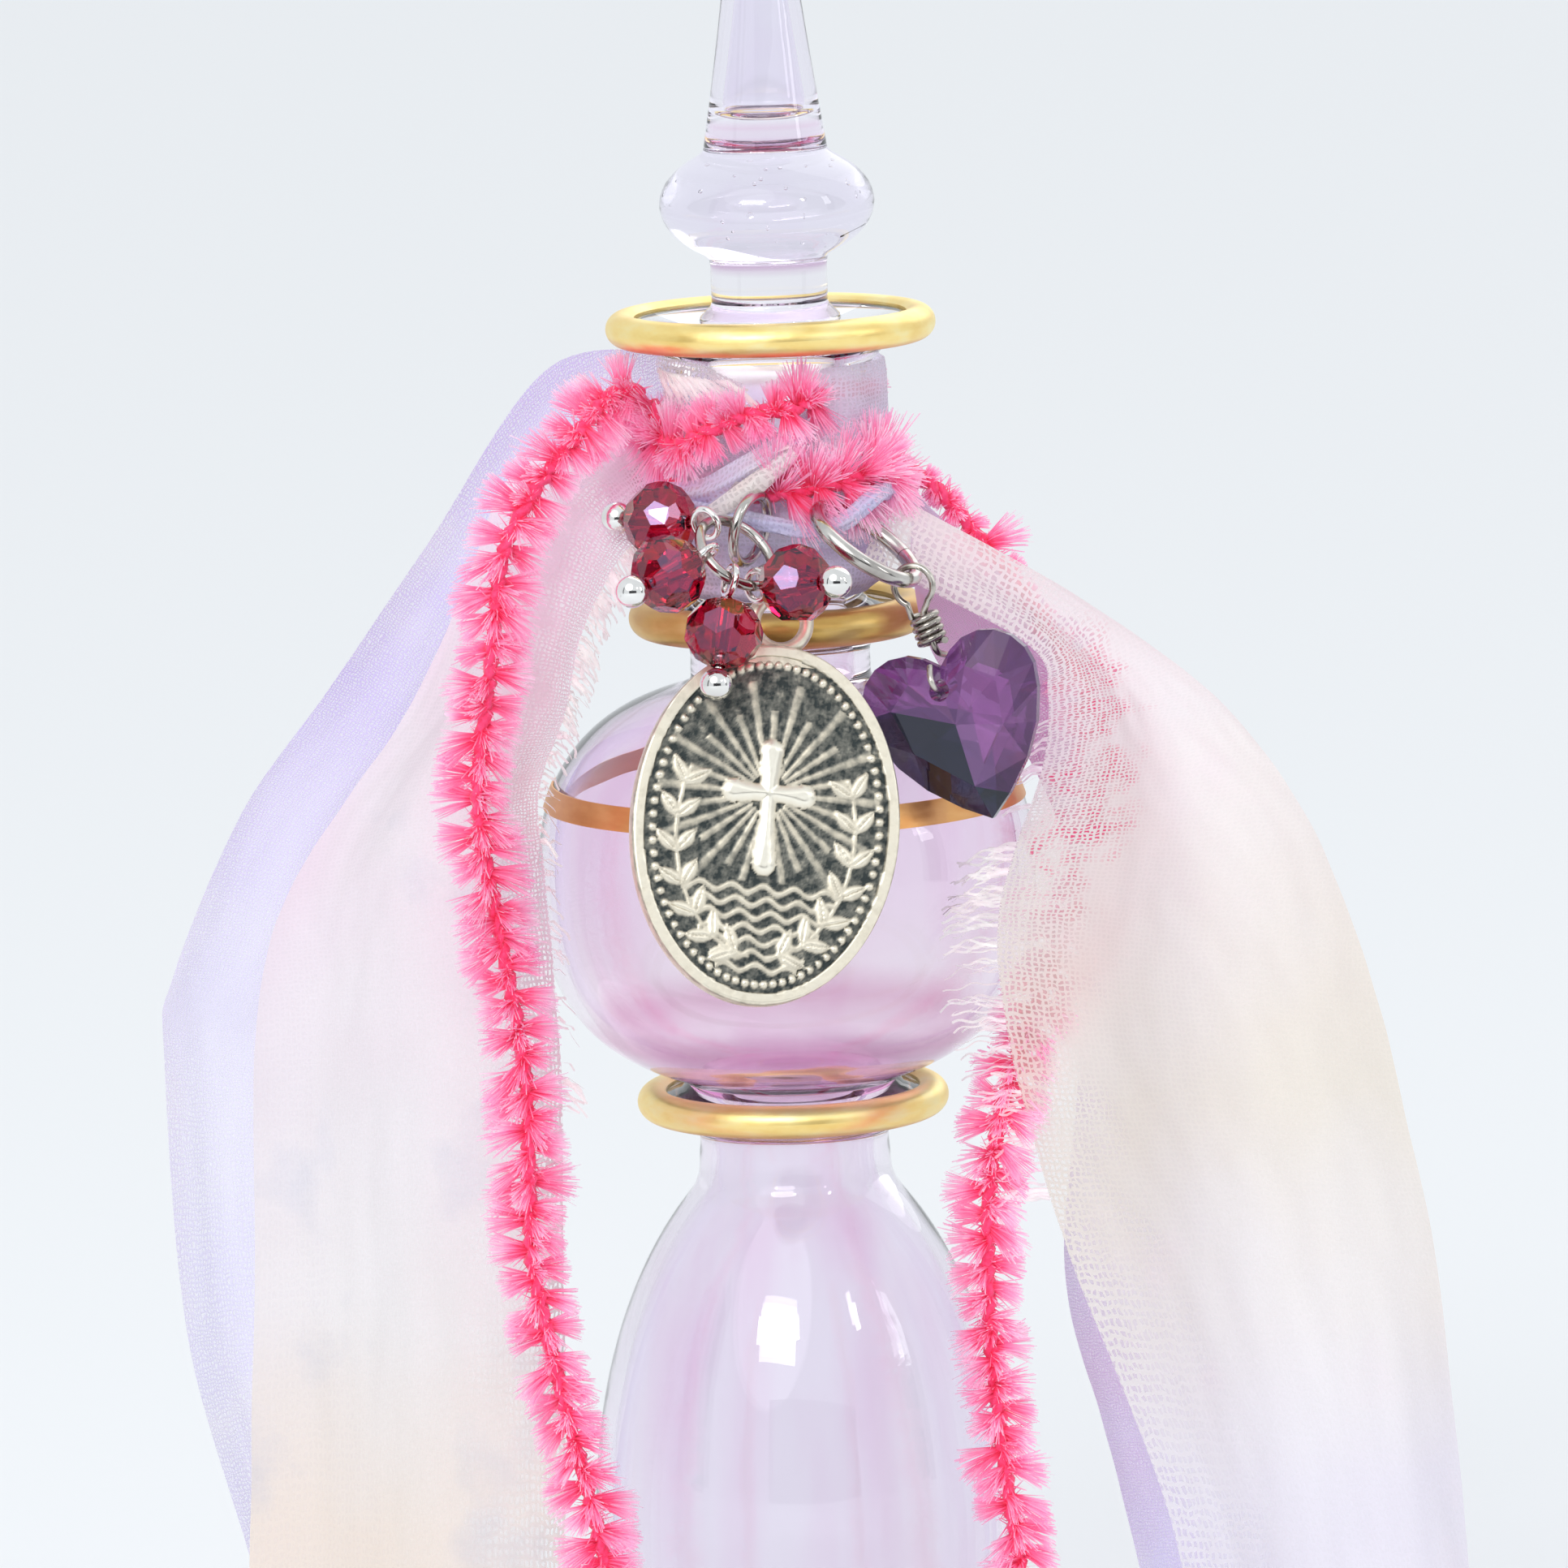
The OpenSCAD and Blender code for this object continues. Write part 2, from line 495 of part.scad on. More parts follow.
// Hanging cloth between two edges, with folds along it
module cloth(outer_edge, inner_edge, thick, depth, folds, cols) {
    left = curve([for (p = outer_edge) hung(p)], tail_rows);
    right = curve([for (p = inner_edge) hung(p)], tail_rows);
    rows = len(left) - 1;
    flat = [for (i = [0:rows]) [for (j = [0:cols]) left[i] + (right[i] - left[i]) * j / cols]];
    normal = [for (i = [0:rows]) [for (j = [0:cols])
        unit(cross(right[i] - left[i], flat[min(rows, i + 1)][j] - flat[max(0, i - 1)][j]))]];
    swell = [for (i = [0:rows]) depth * min(1, 0.25 + 2.2 * i / rows)];
    middle = [for (i = [0:rows]) [for (j = [0:cols])
        flat[i][j] + normal[i][j] * swell[i] * sin(360 * folds * j / cols + 40 * sin(300 * i / rows))]];
    half = thick / 2;
    count = (rows + 1) * (cols + 1);
    points = concat(
        [for (i = [0:rows]) for (j = [0:cols]) middle[i][j] + normal[i][j] * half],
        [for (i = [0:rows]) for (j = [0:cols]) middle[i][j] - normal[i][j] * half]);
    at = cols + 1;
    faces = [for (i = [0:rows - 1]) for (j = [0:cols - 1]) for (k = [0:3])
        let (a = i * at + j, b = a + 1, c = a + at, d = c + 1)
        k == 0 ? [a, c, d] : k == 1 ? [a, d, b]
        : k == 2 ? [count + a, count + b, count + d] : [count + a, count + d, count + c]];
    sides = [for (i = [0:rows - 1]) for (k = [0:3])
        let (a = i * at, c = a + at, b = a + cols, d = c + cols)
        k == 0 ? [count + a, count + c, c] : k == 1 ? [count + a, c, a]
        : k == 2 ? [b, d, count + d] : [b, count + d, count + b]];
    ends = [for (j = [0:cols - 1]) for (k = [0:3])
        let (a = j, b = j + 1, c = rows * at + j, d = c + 1)
        k == 0 ? [count + a, a, b] : k == 1 ? [count + a, b, count + b]
        : k == 2 ? [count + d, d, c] : [count + d, c, count + c]];
    polyhedron(points, concat(faces, sides, ends), convexity = 10);
}

module chiffon_left_tail() {
    color([0.93, 0.88, 0.92])
        cloth(chiffon_left_outer, chiffon_left_inner, chiffon_t, chiffon_fold, chiffon_folds, chiffon_cols);
}

module chiffon_right_tail() {
    color([0.94, 0.9, 0.9])
        cloth(chiffon_right_outer, chiffon_right_inner, chiffon_t, chiffon_fold, chiffon_folds, chiffon_cols);
}

module organza_left_tail() {
    color([0.87, 0.86, 0.94])
        cloth(organza_left_outer, organza_left_inner, organza_t, organza_fold, 1, organza_cols);
}

module organza_right_tail() {
    color([0.87, 0.84, 0.93])
        cloth(organza_right_outer, organza_right_inner, organza_t, organza_fold, 1, organza_cols);
}

// Yarn round the neck, falling from the left to the right
yarn_rings = 24;
yarn_path = [for (i = [0:yarn_turns * yarn_rings])
    let (t = i / yarn_rings, a = yarn_end_angle - 360 * (yarn_turns - t))
    [yarn_r * cos(a), yarn_r * sin(a), yarn_z + yarn_pitch * (yarn_turns - t)]];

// Least gap of a winding to itself, measured on points of its path
function self_gap(path, d, apart) = min([for (i = [0:len(path) - 1]) for (j = [i + apart:len(path) - 1])
    if (j < len(path)) norm(path[i] - path[j])]) - d;

module yarn_neck_winding() {
    echo(yarn_gap = self_gap(yarn_path, yarn_d, 12));
    color("hotpink") tube(yarn_path, round_section(yarn_d / 2, wire_sides));
}

module yarn_left_tail() {
    color("hotpink") tube(curve(yarn_left_route, 2), round_section(yarn_d / 2, yarn_sides));
}

module yarn_right_tail() {
    color("hotpink") tube(curve(yarn_right_route, 2), round_section(yarn_d / 2, yarn_sides));
}

// A wire ring, its plane tilted by its normal's lean from upright and turn
module wire_ring(centre, radius, wire, lean, turn) {
    color("silver") translate(centre) rotate([0, lean, turn])
        rotate_extrude() translate([radius, 0]) circle(wire / 2);
}

function ring_x(lean, turn) = [cos(lean) * cos(turn), cos(lean) * sin(turn), -sin(lean)];
function ring_y(turn) = [-sin(turn), cos(turn), 0];
function ring_n(lean, turn) = [sin(lean) * cos(turn), sin(lean) * sin(turn), cos(lean)];
function on_ring(c, r, lean, turn, a) = c + r * (cos(a) * ring_x(lean, turn) + sin(a) * ring_y(turn));
function along_ring(lean, turn, a) = cos(a) * ring_y(turn) - sin(a) * ring_x(lean, turn);
function on_cluster(a) = on_ring(cluster_c, cluster_r, cluster_lean, cluster_turn, a);

module hanger_ring() { wire_ring(hanger_c, hanger_r, ring_wire, hanger_lean, hanger_turn); }

module cluster_ring() { wire_ring(cluster_c, cluster_r, ring_wire, cluster_lean, cluster_turn); }

module charm_ring() { wire_ring(charm_c, charm_r, charm_wire, charm_lean, charm_turn); }

// The medal's ring hangs inside the cluster ring's wire, straight down in its own plane
medal_ring_n = ring_n(medal_ring_lean, medal_ring_turn);
medal_ring_down = unit([0, 0, -1] + medal_ring_n * medal_ring_n.z);
medal_ring_c = on_cluster(medal_at)
    + medal_ring_down * (medal_ring_r - medal_wire / 2 - ring_wire / 2 - hang_fit);
medal_pivot = medal_ring_c + medal_ring_down * medal_ring_r;

module medal_ring() { wire_ring(medal_ring_c, medal_ring_r, medal_wire, medal_ring_lean, medal_ring_turn); }

// Lean at which the medal's back clears the bulb
medal_back = medal_t / 2 + medal_relief + medal_gap;
medal_lean = max([for (z = between(bulb_z, bulb_z + bulb_close_up - 4, 12))
    atan((glass_r(z) + medal_back + medal_pivot.y) / (medal_pivot.z - z))]);
medal_drop = medal_half_h + medal_hole_r + medal_eye_w * 0.3;

function oval(w, h) = [for (a = [0:7.5:352.5]) [w * cos(a), h * sin(a)]];

module oval_plate(shrink, thick) {
    rotate([90, 0, 0]) linear_extrude(thick, center = true)
        polygon(oval(medal_half_w - shrink, medal_half_h - shrink));
}

// Rayed cross in low relief, on the side that faces forward
module medal_relief_work() {
    arm = medal_half_w * 0.44;
    bar = medal_half_w * 0.16;
    high = medal_relief + 0.2;
    face = -medal_t / 2 - medal_relief / 2 + 0.1;
    for (s = [[bar, arm * 2.5], [arm * 1.6, bar]]) translate([0, face, s.x == bar ? -arm * 0.25 : arm * 0.2])
        cube([s.x, high, s.y], center = true);
    for (k = [0:medal_rays - 1]) translate([0, face, arm * 0.2]) rotate([0, (k + 0.5) * 360 / medal_rays, 0])
        translate([arm * 1.15, 0, 0]) cube([arm * 0.45, high, bar * 0.3], center = true);
}

module medal() {
    color([0.6, 0.6, 0.56])
        translate(medal_pivot) rotate([-medal_lean, 0, medal_turn]) rotate([0, medal_slant, 0])
        translate([0, 0, -(medal_hole_r - medal_wire / 2 - hang_fit)]) {
            translate([0, 0, -medal_drop]) {
                oval_plate(medal_rim_w, medal_t);
                difference() {
                    oval_plate(0, medal_t + 2 * medal_relief);
                    oval_plate(medal_rim_w, medal_t + 4 * medal_relief);
                }
                medal_relief_work();
            }
            rotate([90, 0, 0]) rotate_extrude()
                translate([medal_hole_r + medal_eye_w / 2, 0]) circle(medal_eye_w / 2);
        }
}

// The heart hangs at the lowest point of the charm ring, in the plane across its wire
heart_pivot = on_ring(charm_c, charm_r, charm_lean, charm_turn, 0);
heart_loop_z = -(heart_loop_r - heart_wire_d / 2 - charm_wire / 2 - hang_fit);
stem_top_z = heart_loop_z - heart_loop_r - 0.55;
coil_r = heart_wire_d + 0.45;
coil_top_z = stem_top_z - 0.15;
coil_end_z = coil_top_z - wrap_turns * wrap_pitch;
lobe_r = heart_w * 0.26;
lobe_x = heart_w / 2 - lobe_r;
heart_hole_z = coil_end_z - heart_wire_d / 2 - 0.35
    - sqrt(lobe_r * lobe_r - pow(lobe_x - coil_r - heart_wire_d, 2)) + 0.3;
leg_y = heart_t / 2 + heart_wire_d;

module at_heart() {
    translate(heart_pivot) rotate([-heart_tilt, 0, charm_turn]) rotate([0, -heart_slant, 0]) children();
}

// Outline of the heart round its hole: two lobes and a point
lobe_z = -0.3;
tip_z = lobe_z + lobe_r - heart_h;
side_angle = atan2(lobe_z - tip_z, lobe_x) - acos(lobe_r / norm([lobe_x, lobe_z - tip_z]));
notch_angle = acos(-lobe_x / lobe_r * 0.93);
right_lobe = [for (a = between(-(90 - side_angle) + 38, notch_angle, 9))
    [lobe_x + lobe_r * cos(a), lobe_z + lobe_r * sin(a)]];
heart_outline = concat([[0, tip_z]], right_lobe, [for (i = [9:-1:0]) [-right_lobe[i].x, right_lobe[i].y]]);

heart_centre = [0, -heart_h * 0.2];
heart_levels = [[0.5, heart_t / 2], [1, heart_girdle / 2], [1, -heart_girdle / 2], [0.5, -heart_t / 2]];
heart_points = [for (l = heart_levels) for (p = heart_outline)
    let (q = heart_centre + (p - heart_centre) * l[0]) [q.x, l[1], q.y]];

// Tilt at which the heart's back clears the bulb
function heart_hung(q) = let (z = heart_hole_z + q.z, x = q.x * cos(heart_slant) - z * sin(heart_slant))
    heart_pivot + [x * cos(charm_turn) - q.y * sin(charm_turn), x * sin(charm_turn) + q.y * cos(charm_turn),
        q.x * sin(heart_slant) + z * cos(heart_slant)];
function bulb_front(p) = sqrt(max(0, pow(glass_r(p.z), 2) - p.x * p.x));
heart_tilt = max(0, max([for (q = heart_points) let (p = heart_hung(q), drop = heart_pivot.z - p.z)
    drop < 4 ? 0 : atan((bulb_front(p) + heart_gap + p.y) / drop / cos(charm_turn))]));

// Solid faceted from its girdle to a table on each side
module heart_solid() {
    m = len(heart_outline);
    points = concat(heart_points, [[0, heart_t / 2, heart_centre.y], [0, -heart_t / 2, heart_centre.y]]);
    walls = [for (i = [0:2]) for (j = [0:m - 1]) for (k = [0, 1])
        let (a = i * m + j, b = i * m + (j + 1) % m) k == 0 ? [a, a + m, b + m] : [a, b + m, b]];
    caps = [for (j = [0:m - 1]) for (k = [0, 1]) let (n = (j + 1) % m)
        k == 0 ? [4 * m, j, n] : [4 * m + 1, 3 * m + n, 3 * m + j]];
    polyhedron(points, concat(walls, caps));
}

module heart() {
    color([0.47, 0.31, 0.53, 0.9]) at_heart() translate([0, 0, heart_hole_z]) difference() {
        heart_solid();
        rotate([90, 0, 0]) cylinder(r = heart_hole_r, h = heart_t * 2, center = true);
    }
}

// One wire: through the heart, up the stem, round the loop and down in a wrap
legs = curve([[0, -leg_y * 0.75, heart_hole_z + 2], [0, -leg_y, heart_hole_z + 1],
    [0, -leg_y * 0.8, heart_hole_z + 0.15], [0, 0, heart_hole_z],
    [0, leg_y * 0.8, heart_hole_z + 0.15], [0, leg_y, heart_hole_z + 1],
    [0, leg_y * 0.75, heart_hole_z + 2.2], [0, 0.35, coil_end_z - 0.7], [0, 0, coil_end_z + 0.4],
    [0, 0, coil_top_z - 0.2]], 3);
loop = [for (a = between(-60, 232, 24)) [heart_loop_r * cos(a), 0, heart_loop_z + heart_loop_r * sin(a)]];
wrap = [for (i = [1:wrap_turns * 10]) let (a = 180 - 36 * i)
    [coil_r * cos(a), coil_r * sin(a), coil_top_z - wrap_pitch * i / 10]];
heart_wire_path = concat(legs, [[0.12, 0, stem_top_z]], loop, [[-coil_r - 0.02, 0, coil_top_z]], wrap);

module heart_wire() {
    echo(heart_wrap_gap = self_gap(wrap, heart_wire_d, 6));
    echo(heart_wire_gap = self_gap(heart_wire_path, heart_wire_d, 9));
    color("silver") at_heart() tube(heart_wire_path, round_section(heart_wire_d / 2, wire_sides));
}

// Bead drops hang on the cluster ring, each along its own direction
function drop_dir(k) =
    [cos(drop_dip[k]) * cos(drop_heading[k]), cos(drop_dip[k]) * sin(drop_heading[k]), -sin(drop_dip[k])];
function drop_across(k) = let (d = drop_dir(k), t = along_ring(cluster_lean, cluster_turn, drop_at[k]))
    unit(t - d * (t * d));
pin_seat = pin_eye_r - pin_wire / 2 - ring_wire / 2 - hang_fit;
bead_at = pin_seat * 0.4 + pin_eye_r + pin_wire / 2 + pin_gap + bead_len / 2;

module at_drop(k) {
    z = drop_dir(k);
    y = drop_across(k);
    x = cross(y, z);
    p = on_cluster(drop_at[k]);
    multmatrix([[x.x, y.x, z.x, p.x], [x.y, y.y, z.y, p.y], [x.z, y.z, z.z, p.z], [0, 0, 0, 1]]) children();
}

// Cut glass bead: rows of facets between two flat ends
module red_bead(k) {
    half = bead_len / 2;
    outline = [[0, -half], [bead_d * 0.24, -half], [bead_d * 0.42, -half * 0.62], [bead_d / 2, -half * 0.12],
        [bead_d / 2, half * 0.12], [bead_d * 0.42, half * 0.62], [bead_d * 0.24, half], [0, half]];
    color([0.5, 0.02, 0.12]) at_drop(k) translate([0, 0, bead_at]) difference() {
        rotate_extrude($fn = bead_sides) polygon(outline);
        cylinder(d = bead_hole, h = bead_len * 2, center = true);
    }
}

module head_pin(k) {
    ball_at = bead_at + bead_len / 2 + pin_gap + pin_ball / 2;
    eye_at = pin_seat * 0.4;
    color("silver") at_drop(k) {
        translate([0, 0, eye_at]) rotate([90, 0, 0]) rotate_extrude()
            translate([pin_eye_r, 0]) circle(pin_wire / 2);
        translate([0, 0, eye_at + pin_eye_r]) cylinder(d = pin_wire, h = ball_at - eye_at - pin_eye_r);
        translate([0, 0, ball_at]) sphere(d = pin_ball);
    }
}

bottle_glass();
foot_gilding();
collar_gilding();
bulb_band_gilding();
neck_ring_gilding();
mouth_gilding();
stopper();
chiffon_neck_wrap();
organza_neck_wrap();
chiffon_tie();
chiffon_left_tail();
chiffon_right_tail();
organza_left_tail();
organza_right_tail();
yarn_neck_winding();
yarn_left_tail();
yarn_right_tail();
hanger_ring();
cluster_ring();
charm_ring();
medal_ring();
medal();
heart();
heart_wire();
red_bead(0);  // red_bead_1
red_bead(1);  // red_bead_2
red_bead(2);  // red_bead_3
red_bead(3);  // red_bead_4
head_pin(0);  // head_pin_1
head_pin(1);  // head_pin_2
head_pin(2);  // head_pin_3
head_pin(3);  // head_pin_4
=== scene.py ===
import math
import random

import bmesh
import bpy
from mathutils import Matrix, Vector, noise


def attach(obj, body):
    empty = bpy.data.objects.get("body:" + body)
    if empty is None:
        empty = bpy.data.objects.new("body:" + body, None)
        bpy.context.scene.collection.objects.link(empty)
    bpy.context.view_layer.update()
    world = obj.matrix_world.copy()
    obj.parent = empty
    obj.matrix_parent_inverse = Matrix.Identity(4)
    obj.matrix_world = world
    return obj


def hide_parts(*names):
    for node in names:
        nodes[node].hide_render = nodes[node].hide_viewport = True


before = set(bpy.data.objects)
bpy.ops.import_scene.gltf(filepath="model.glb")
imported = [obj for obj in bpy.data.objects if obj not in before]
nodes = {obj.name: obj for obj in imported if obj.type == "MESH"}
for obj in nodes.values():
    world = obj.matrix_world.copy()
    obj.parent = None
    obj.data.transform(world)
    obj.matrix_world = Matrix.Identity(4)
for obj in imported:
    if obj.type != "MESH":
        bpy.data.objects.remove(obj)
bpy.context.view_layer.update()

mm = 0.001
print("frame loaded:", len(nodes), "nodes")


# small tools
def deselect():
    if bpy.context.object and bpy.context.object.mode != "OBJECT":
        bpy.ops.object.mode_set(mode="OBJECT")
    bpy.ops.object.select_all(action="DESELECT")


def editMode():
    bpy.ops.object.mode_set(mode="EDIT")


def objectMode():
    bpy.ops.object.mode_set(mode="OBJECT")


def named(name):
    piece = bpy.context.active_object
    piece.name = name
    piece.data.name = name
    return piece


def pickFaces(piece, test):
    bpy.ops.mesh.select_mode(type="FACE")
    bpy.ops.mesh.select_all(action="DESELECT")
    mesh = bmesh.from_edit_mesh(piece.data)
    for face in mesh.faces:
        face.select_set(test(face))
    bmesh.update_edit_mesh(piece.data)


def activate(piece):  # selected alone
    deselect()
    piece.select_set(True)
    bpy.context.view_layer.objects.active = piece


def smooth(piece, degrees):
    activate(piece)
    bpy.ops.object.shade_smooth_by_angle(angle=math.radians(degrees))


def join(piece, *others):
    activate(piece)
    for other in others:
        other.select_set(True)
    bpy.ops.object.join()


def mendMesh(merge=None):  # the active piece: doubles merged, faces turned outwards
    editMode()
    bpy.ops.mesh.select_all(action="SELECT")
    if merge:
        bpy.ops.mesh.remove_doubles(threshold=merge)
    bpy.ops.mesh.normals_make_consistent(inside=False)
    objectMode()


def drill(piece, radius, depth, sides, turn=0):  # a hole through its middle, in mm
    deselect()
    bpy.ops.mesh.primitive_cylinder_add(vertices=sides, radius=radius * mm, depth=depth * mm,
                                        rotation=(turn, 0, 0))
    bit = named(piece.name + "Drill")
    activate(piece)
    cut = piece.modifiers.new("hole", "BOOLEAN")
    cut.object = bit
    cut.solver = "EXACT"
    bpy.ops.object.modifier_apply(modifier=cut.name)
    bpy.data.objects.remove(bit)


def mark(piece, name, values, domain="POINT"):  # a number for each point or face, which a material reads
    piece.data.attributes.new(name, "FLOAT", domain).data.foreach_set("value", values)


def grid(name, columns, rows):  # its points run from -1 to 1
    deselect()
    bpy.ops.mesh.primitive_grid_add(x_subdivisions=columns, y_subdivisions=rows, size=2)
    return named(name)


def outline(name, points):  # a closed chain of edges
    deselect()
    bpy.ops.mesh.primitive_circle_add(vertices=len(points), radius=mm, fill_type="NOTHING")
    piece = named(name)
    for vertex, point in zip(piece.data.vertices, points):
        vertex.co = vec(*point)
    return piece


def addMesh(name, mesh):
    piece = bpy.data.objects.new(name, mesh)
    bpy.context.scene.collection.objects.link(piece)
    return piece


def settle(piece, material, body, slotName, *replaced):
    piece.data.materials.clear()
    piece.data.materials.append(material)
    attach(piece, body)
    if replaced:
        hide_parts(*replaced)
    return piece


def vec(x, y, z):
    return Vector((x * mm, y * mm, z * mm))


def turned(degrees, axis):
    return Matrix.Rotation(math.radians(degrees), 4, axis)


def standing(x, y, z, place):  # a frame from its three directions
    return Matrix.Translation(place) @ Matrix((x, y, z)).transposed().to_4x4()


def clamp(share):
    return min(1, max(0, share))


def roundNeck(turn, r, z):  # degrees from the front
    angle = math.radians(turn)
    return vec(r * math.sin(angle), -r * math.cos(angle), z)


def curveAt(points, s):  # curve through its points, one unit of s from point to point
    last = len(points) - 1
    i = max(0, min(last - 1, int(s)))
    a, b, c, d = (points[max(0, min(last, k))] for k in (i - 1, i, i + 1, i + 2))
    t = s - i
    bend = 2 * a - 5 * b + 4 * c - d
    sway = 3 * b - a - 3 * c + d
    return 0.5 * (2 * b + (c - a) * t + bend * t ** 2 + sway * t ** 3)


def smoothPath(points, per):
    return [curveAt(points, i / per) for i in range((len(points) - 1) * per + 1)]


def pathLength(path):
    return sum((b - a).length for a, b in zip(path, path[1:]))


def pathFrames(path):  # forward, side and other direction at each point, without twist
    frames = []
    side = None
    for i in range(len(path)):
        ahead = (path[min(i + 1, len(path) - 1)] - path[max(i - 1, 0)]).normalized()
        side = ahead.orthogonal() if side is None else side - ahead * side.dot(ahead)
        side = side.normalized()
        frames.append((ahead, side, ahead.cross(side)))
    return frames


def wireAlong(name, path, radius, roundness):
    deselect()
    bpy.ops.curve.primitive_nurbs_path_add()
    wire = named(name)
    wire.data.splines.clear()
    spline = wire.data.splines.new("POLY")
    spline.points.add(len(path) - 1)
    for point, place in zip(spline.points, path):
        point.co = (*place, 1)
    wire.data.dimensions = "3D"
    wire.data.bevel_depth = radius
    wire.data.bevel_resolution = roundness
    wire.data.use_fill_caps = True
    bpy.ops.object.convert(target="MESH")
    wire = named(name)
    mendMesh(1e-7)
    return wire


fibreTurn = 2.4  # radians from one fibre's flat to the next


def flatFibres(name, strands):  # each has its points and the half width of its root and tip
    verts, faces, along = [], [], []
    for number, (points, wide, fine) in enumerate(strands):
        base, last = len(verts), len(points) - 1
        for i, (ahead, side, other) in enumerate(pathFrames(points)):
            share = i / last
            half = wide + (fine - wide) * share
            for turn in (0, math.pi):
                angle = turn + fibreTurn * number
                verts.append(points[i] + (side * math.cos(angle) + other * math.sin(angle)) * half)
                along.append(share)
        for a in range(base, base + 2 * last, 2):
            faces.append((a, a + 1, a + 3, a + 2))
    mesh = bpy.data.meshes.new(name)
    mesh.from_pydata(verts, [], faces)
    piece = addMesh(name, mesh)
    mark(piece, "tip", along)
    smooth(piece, 80)
    return piece


def spinChain(name, points, steps):  # a chain of radius and height, spun round the axis
    piece = outline(name, [(r, 0, z) for r, z in points])
    ends = {0, len(points) - 1}
    editMode()
    bpy.ops.mesh.select_mode(type="EDGE")
    bpy.ops.mesh.select_all(action="DESELECT")
    mesh = bmesh.from_edit_mesh(piece.data)
    for edge in mesh.edges:
        edge.select_set({v.index for v in edge.verts} == ends)
    bpy.ops.mesh.delete(type="EDGE")
    bpy.ops.mesh.select_mode(type="VERT")
    bpy.ops.mesh.select_all(action="SELECT")
    bpy.ops.mesh.spin(steps=steps, angle=2 * math.pi, center=(0, 0, 0), axis=(0, 0, 1))
    mendMesh(1e-6)
    return piece


# material tools
def newMaterial(name):
    material = bpy.data.materials.new(name)
    material.use_nodes = True
    return material, material.node_tree, material.node_tree.nodes["Principled BSDF"]


def put(tree, kind, **settings):
    node = tree.nodes.new(kind)
    for key, value in settings.items():
        setattr(node, key, value)
    return node


def give(tree, node, sockets):  # a link, a number or a colour for each socket
    for key, value in sockets.items():
        socket = node.inputs[key]
        if isinstance(value, bpy.types.NodeSocket):
            tree.links.new(value, socket)
        else:
            socket.default_value = (*value, 1) if socket.type == "RGBA" else value


def mixShader(tree, factor, first, second):
    node = put(tree, "ShaderNodeMixShader")
    give(tree, node, {0: factor, 1: first, 2: second})
    return node.outputs[0]


def toSurface(tree, shader):
    tree.links.new(shader, tree.nodes["Material Output"].inputs["Surface"])


def mathNode(tree, operation, *values):
    node = put(tree, "ShaderNodeMath", operation=operation)
    give(tree, node, dict(enumerate(values)))
    return node.outputs[0]


def ramp(tree, factor, stops):
    node = put(tree, "ShaderNodeValToRGB")
    elements = node.color_ramp.elements
    while len(elements) < len(stops):
        elements.new(0.5)
    for element, (place, colour) in zip(elements, stops):
        element.position = place
        element.color = (*colour, 1)
    tree.links.new(factor, node.inputs[0])
    return node.outputs[0]


def grey(value):
    return (value, value, value)


def mapRange(tree, value, low, high, toLow=0.0, toHigh=1.0):
    node = put(tree, "ShaderNodeMapRange")
    give(tree, node, {"Value": value, "From Min": low, "From Max": high, "To Min": toLow, "To Max": toHigh})
    return node.outputs["Result"]


def noiseNode(tree, coords, scale, detail=3, stretch=(1, 1, 1)):
    mapping, node = put(tree, "ShaderNodeMapping"), put(tree, "ShaderNodeTexNoise")
    give(tree, mapping, {"Vector": coords, "Scale": stretch})
    give(tree, node, {"Vector": mapping.outputs[0], "Scale": scale, "Detail": detail})
    return node.outputs["Fac"]


def attribute(tree, name):
    return put(tree, "ShaderNodeAttribute", attribute_name=name).outputs["Fac"]


def mixColour(tree, factor, first, second, blend="MIX"):
    node = put(tree, "ShaderNodeMix", data_type="RGBA", blend_type=blend)
    give(tree, node, {0: factor, 6: first, 7: second})
    return node.outputs[2]


def bump(tree, bsdf, height, strength, distance):  # distance in mm
    node = put(tree, "ShaderNodeBump")
    give(tree, node, {"Height": height, "Strength": strength, "Distance": distance * mm})
    tree.links.new(node.outputs[0], bsdf.inputs["Normal"])


def thinGlow(tree, bsdf, colour, share):  # light that comes through thin fibres
    glow = put(tree, "ShaderNodeBsdfTranslucent")
    give(tree, glow, {"Color": colour})
    return mixShader(tree, share, bsdf.outputs[0], glow.outputs[0])


def lampLight(tree, surface, colour):  # lamps shine on through glass and fibres
    clear = put(tree, "ShaderNodeBsdfTransparent")
    give(tree, clear, {"Color": colour})
    shadow = put(tree, "ShaderNodeLightPath").outputs["Is Shadow Ray"]
    toSurface(tree, mixShader(tree, shadow, surface, clear.outputs[0]))


def objectCoords(tree):
    return put(tree, "ShaderNodeTexCoord").outputs["Object"]


def heightOf(tree, coords):
    split = put(tree, "ShaderNodeSeparateXYZ")
    tree.links.new(coords, split.inputs[0])
    return split.outputs["Z"]


# camera and light
view = dict(lens=231.1, sensor=36, place=(0, -775.97, 208.74), target=(0, 0, 90), roll=1.7, near=20)


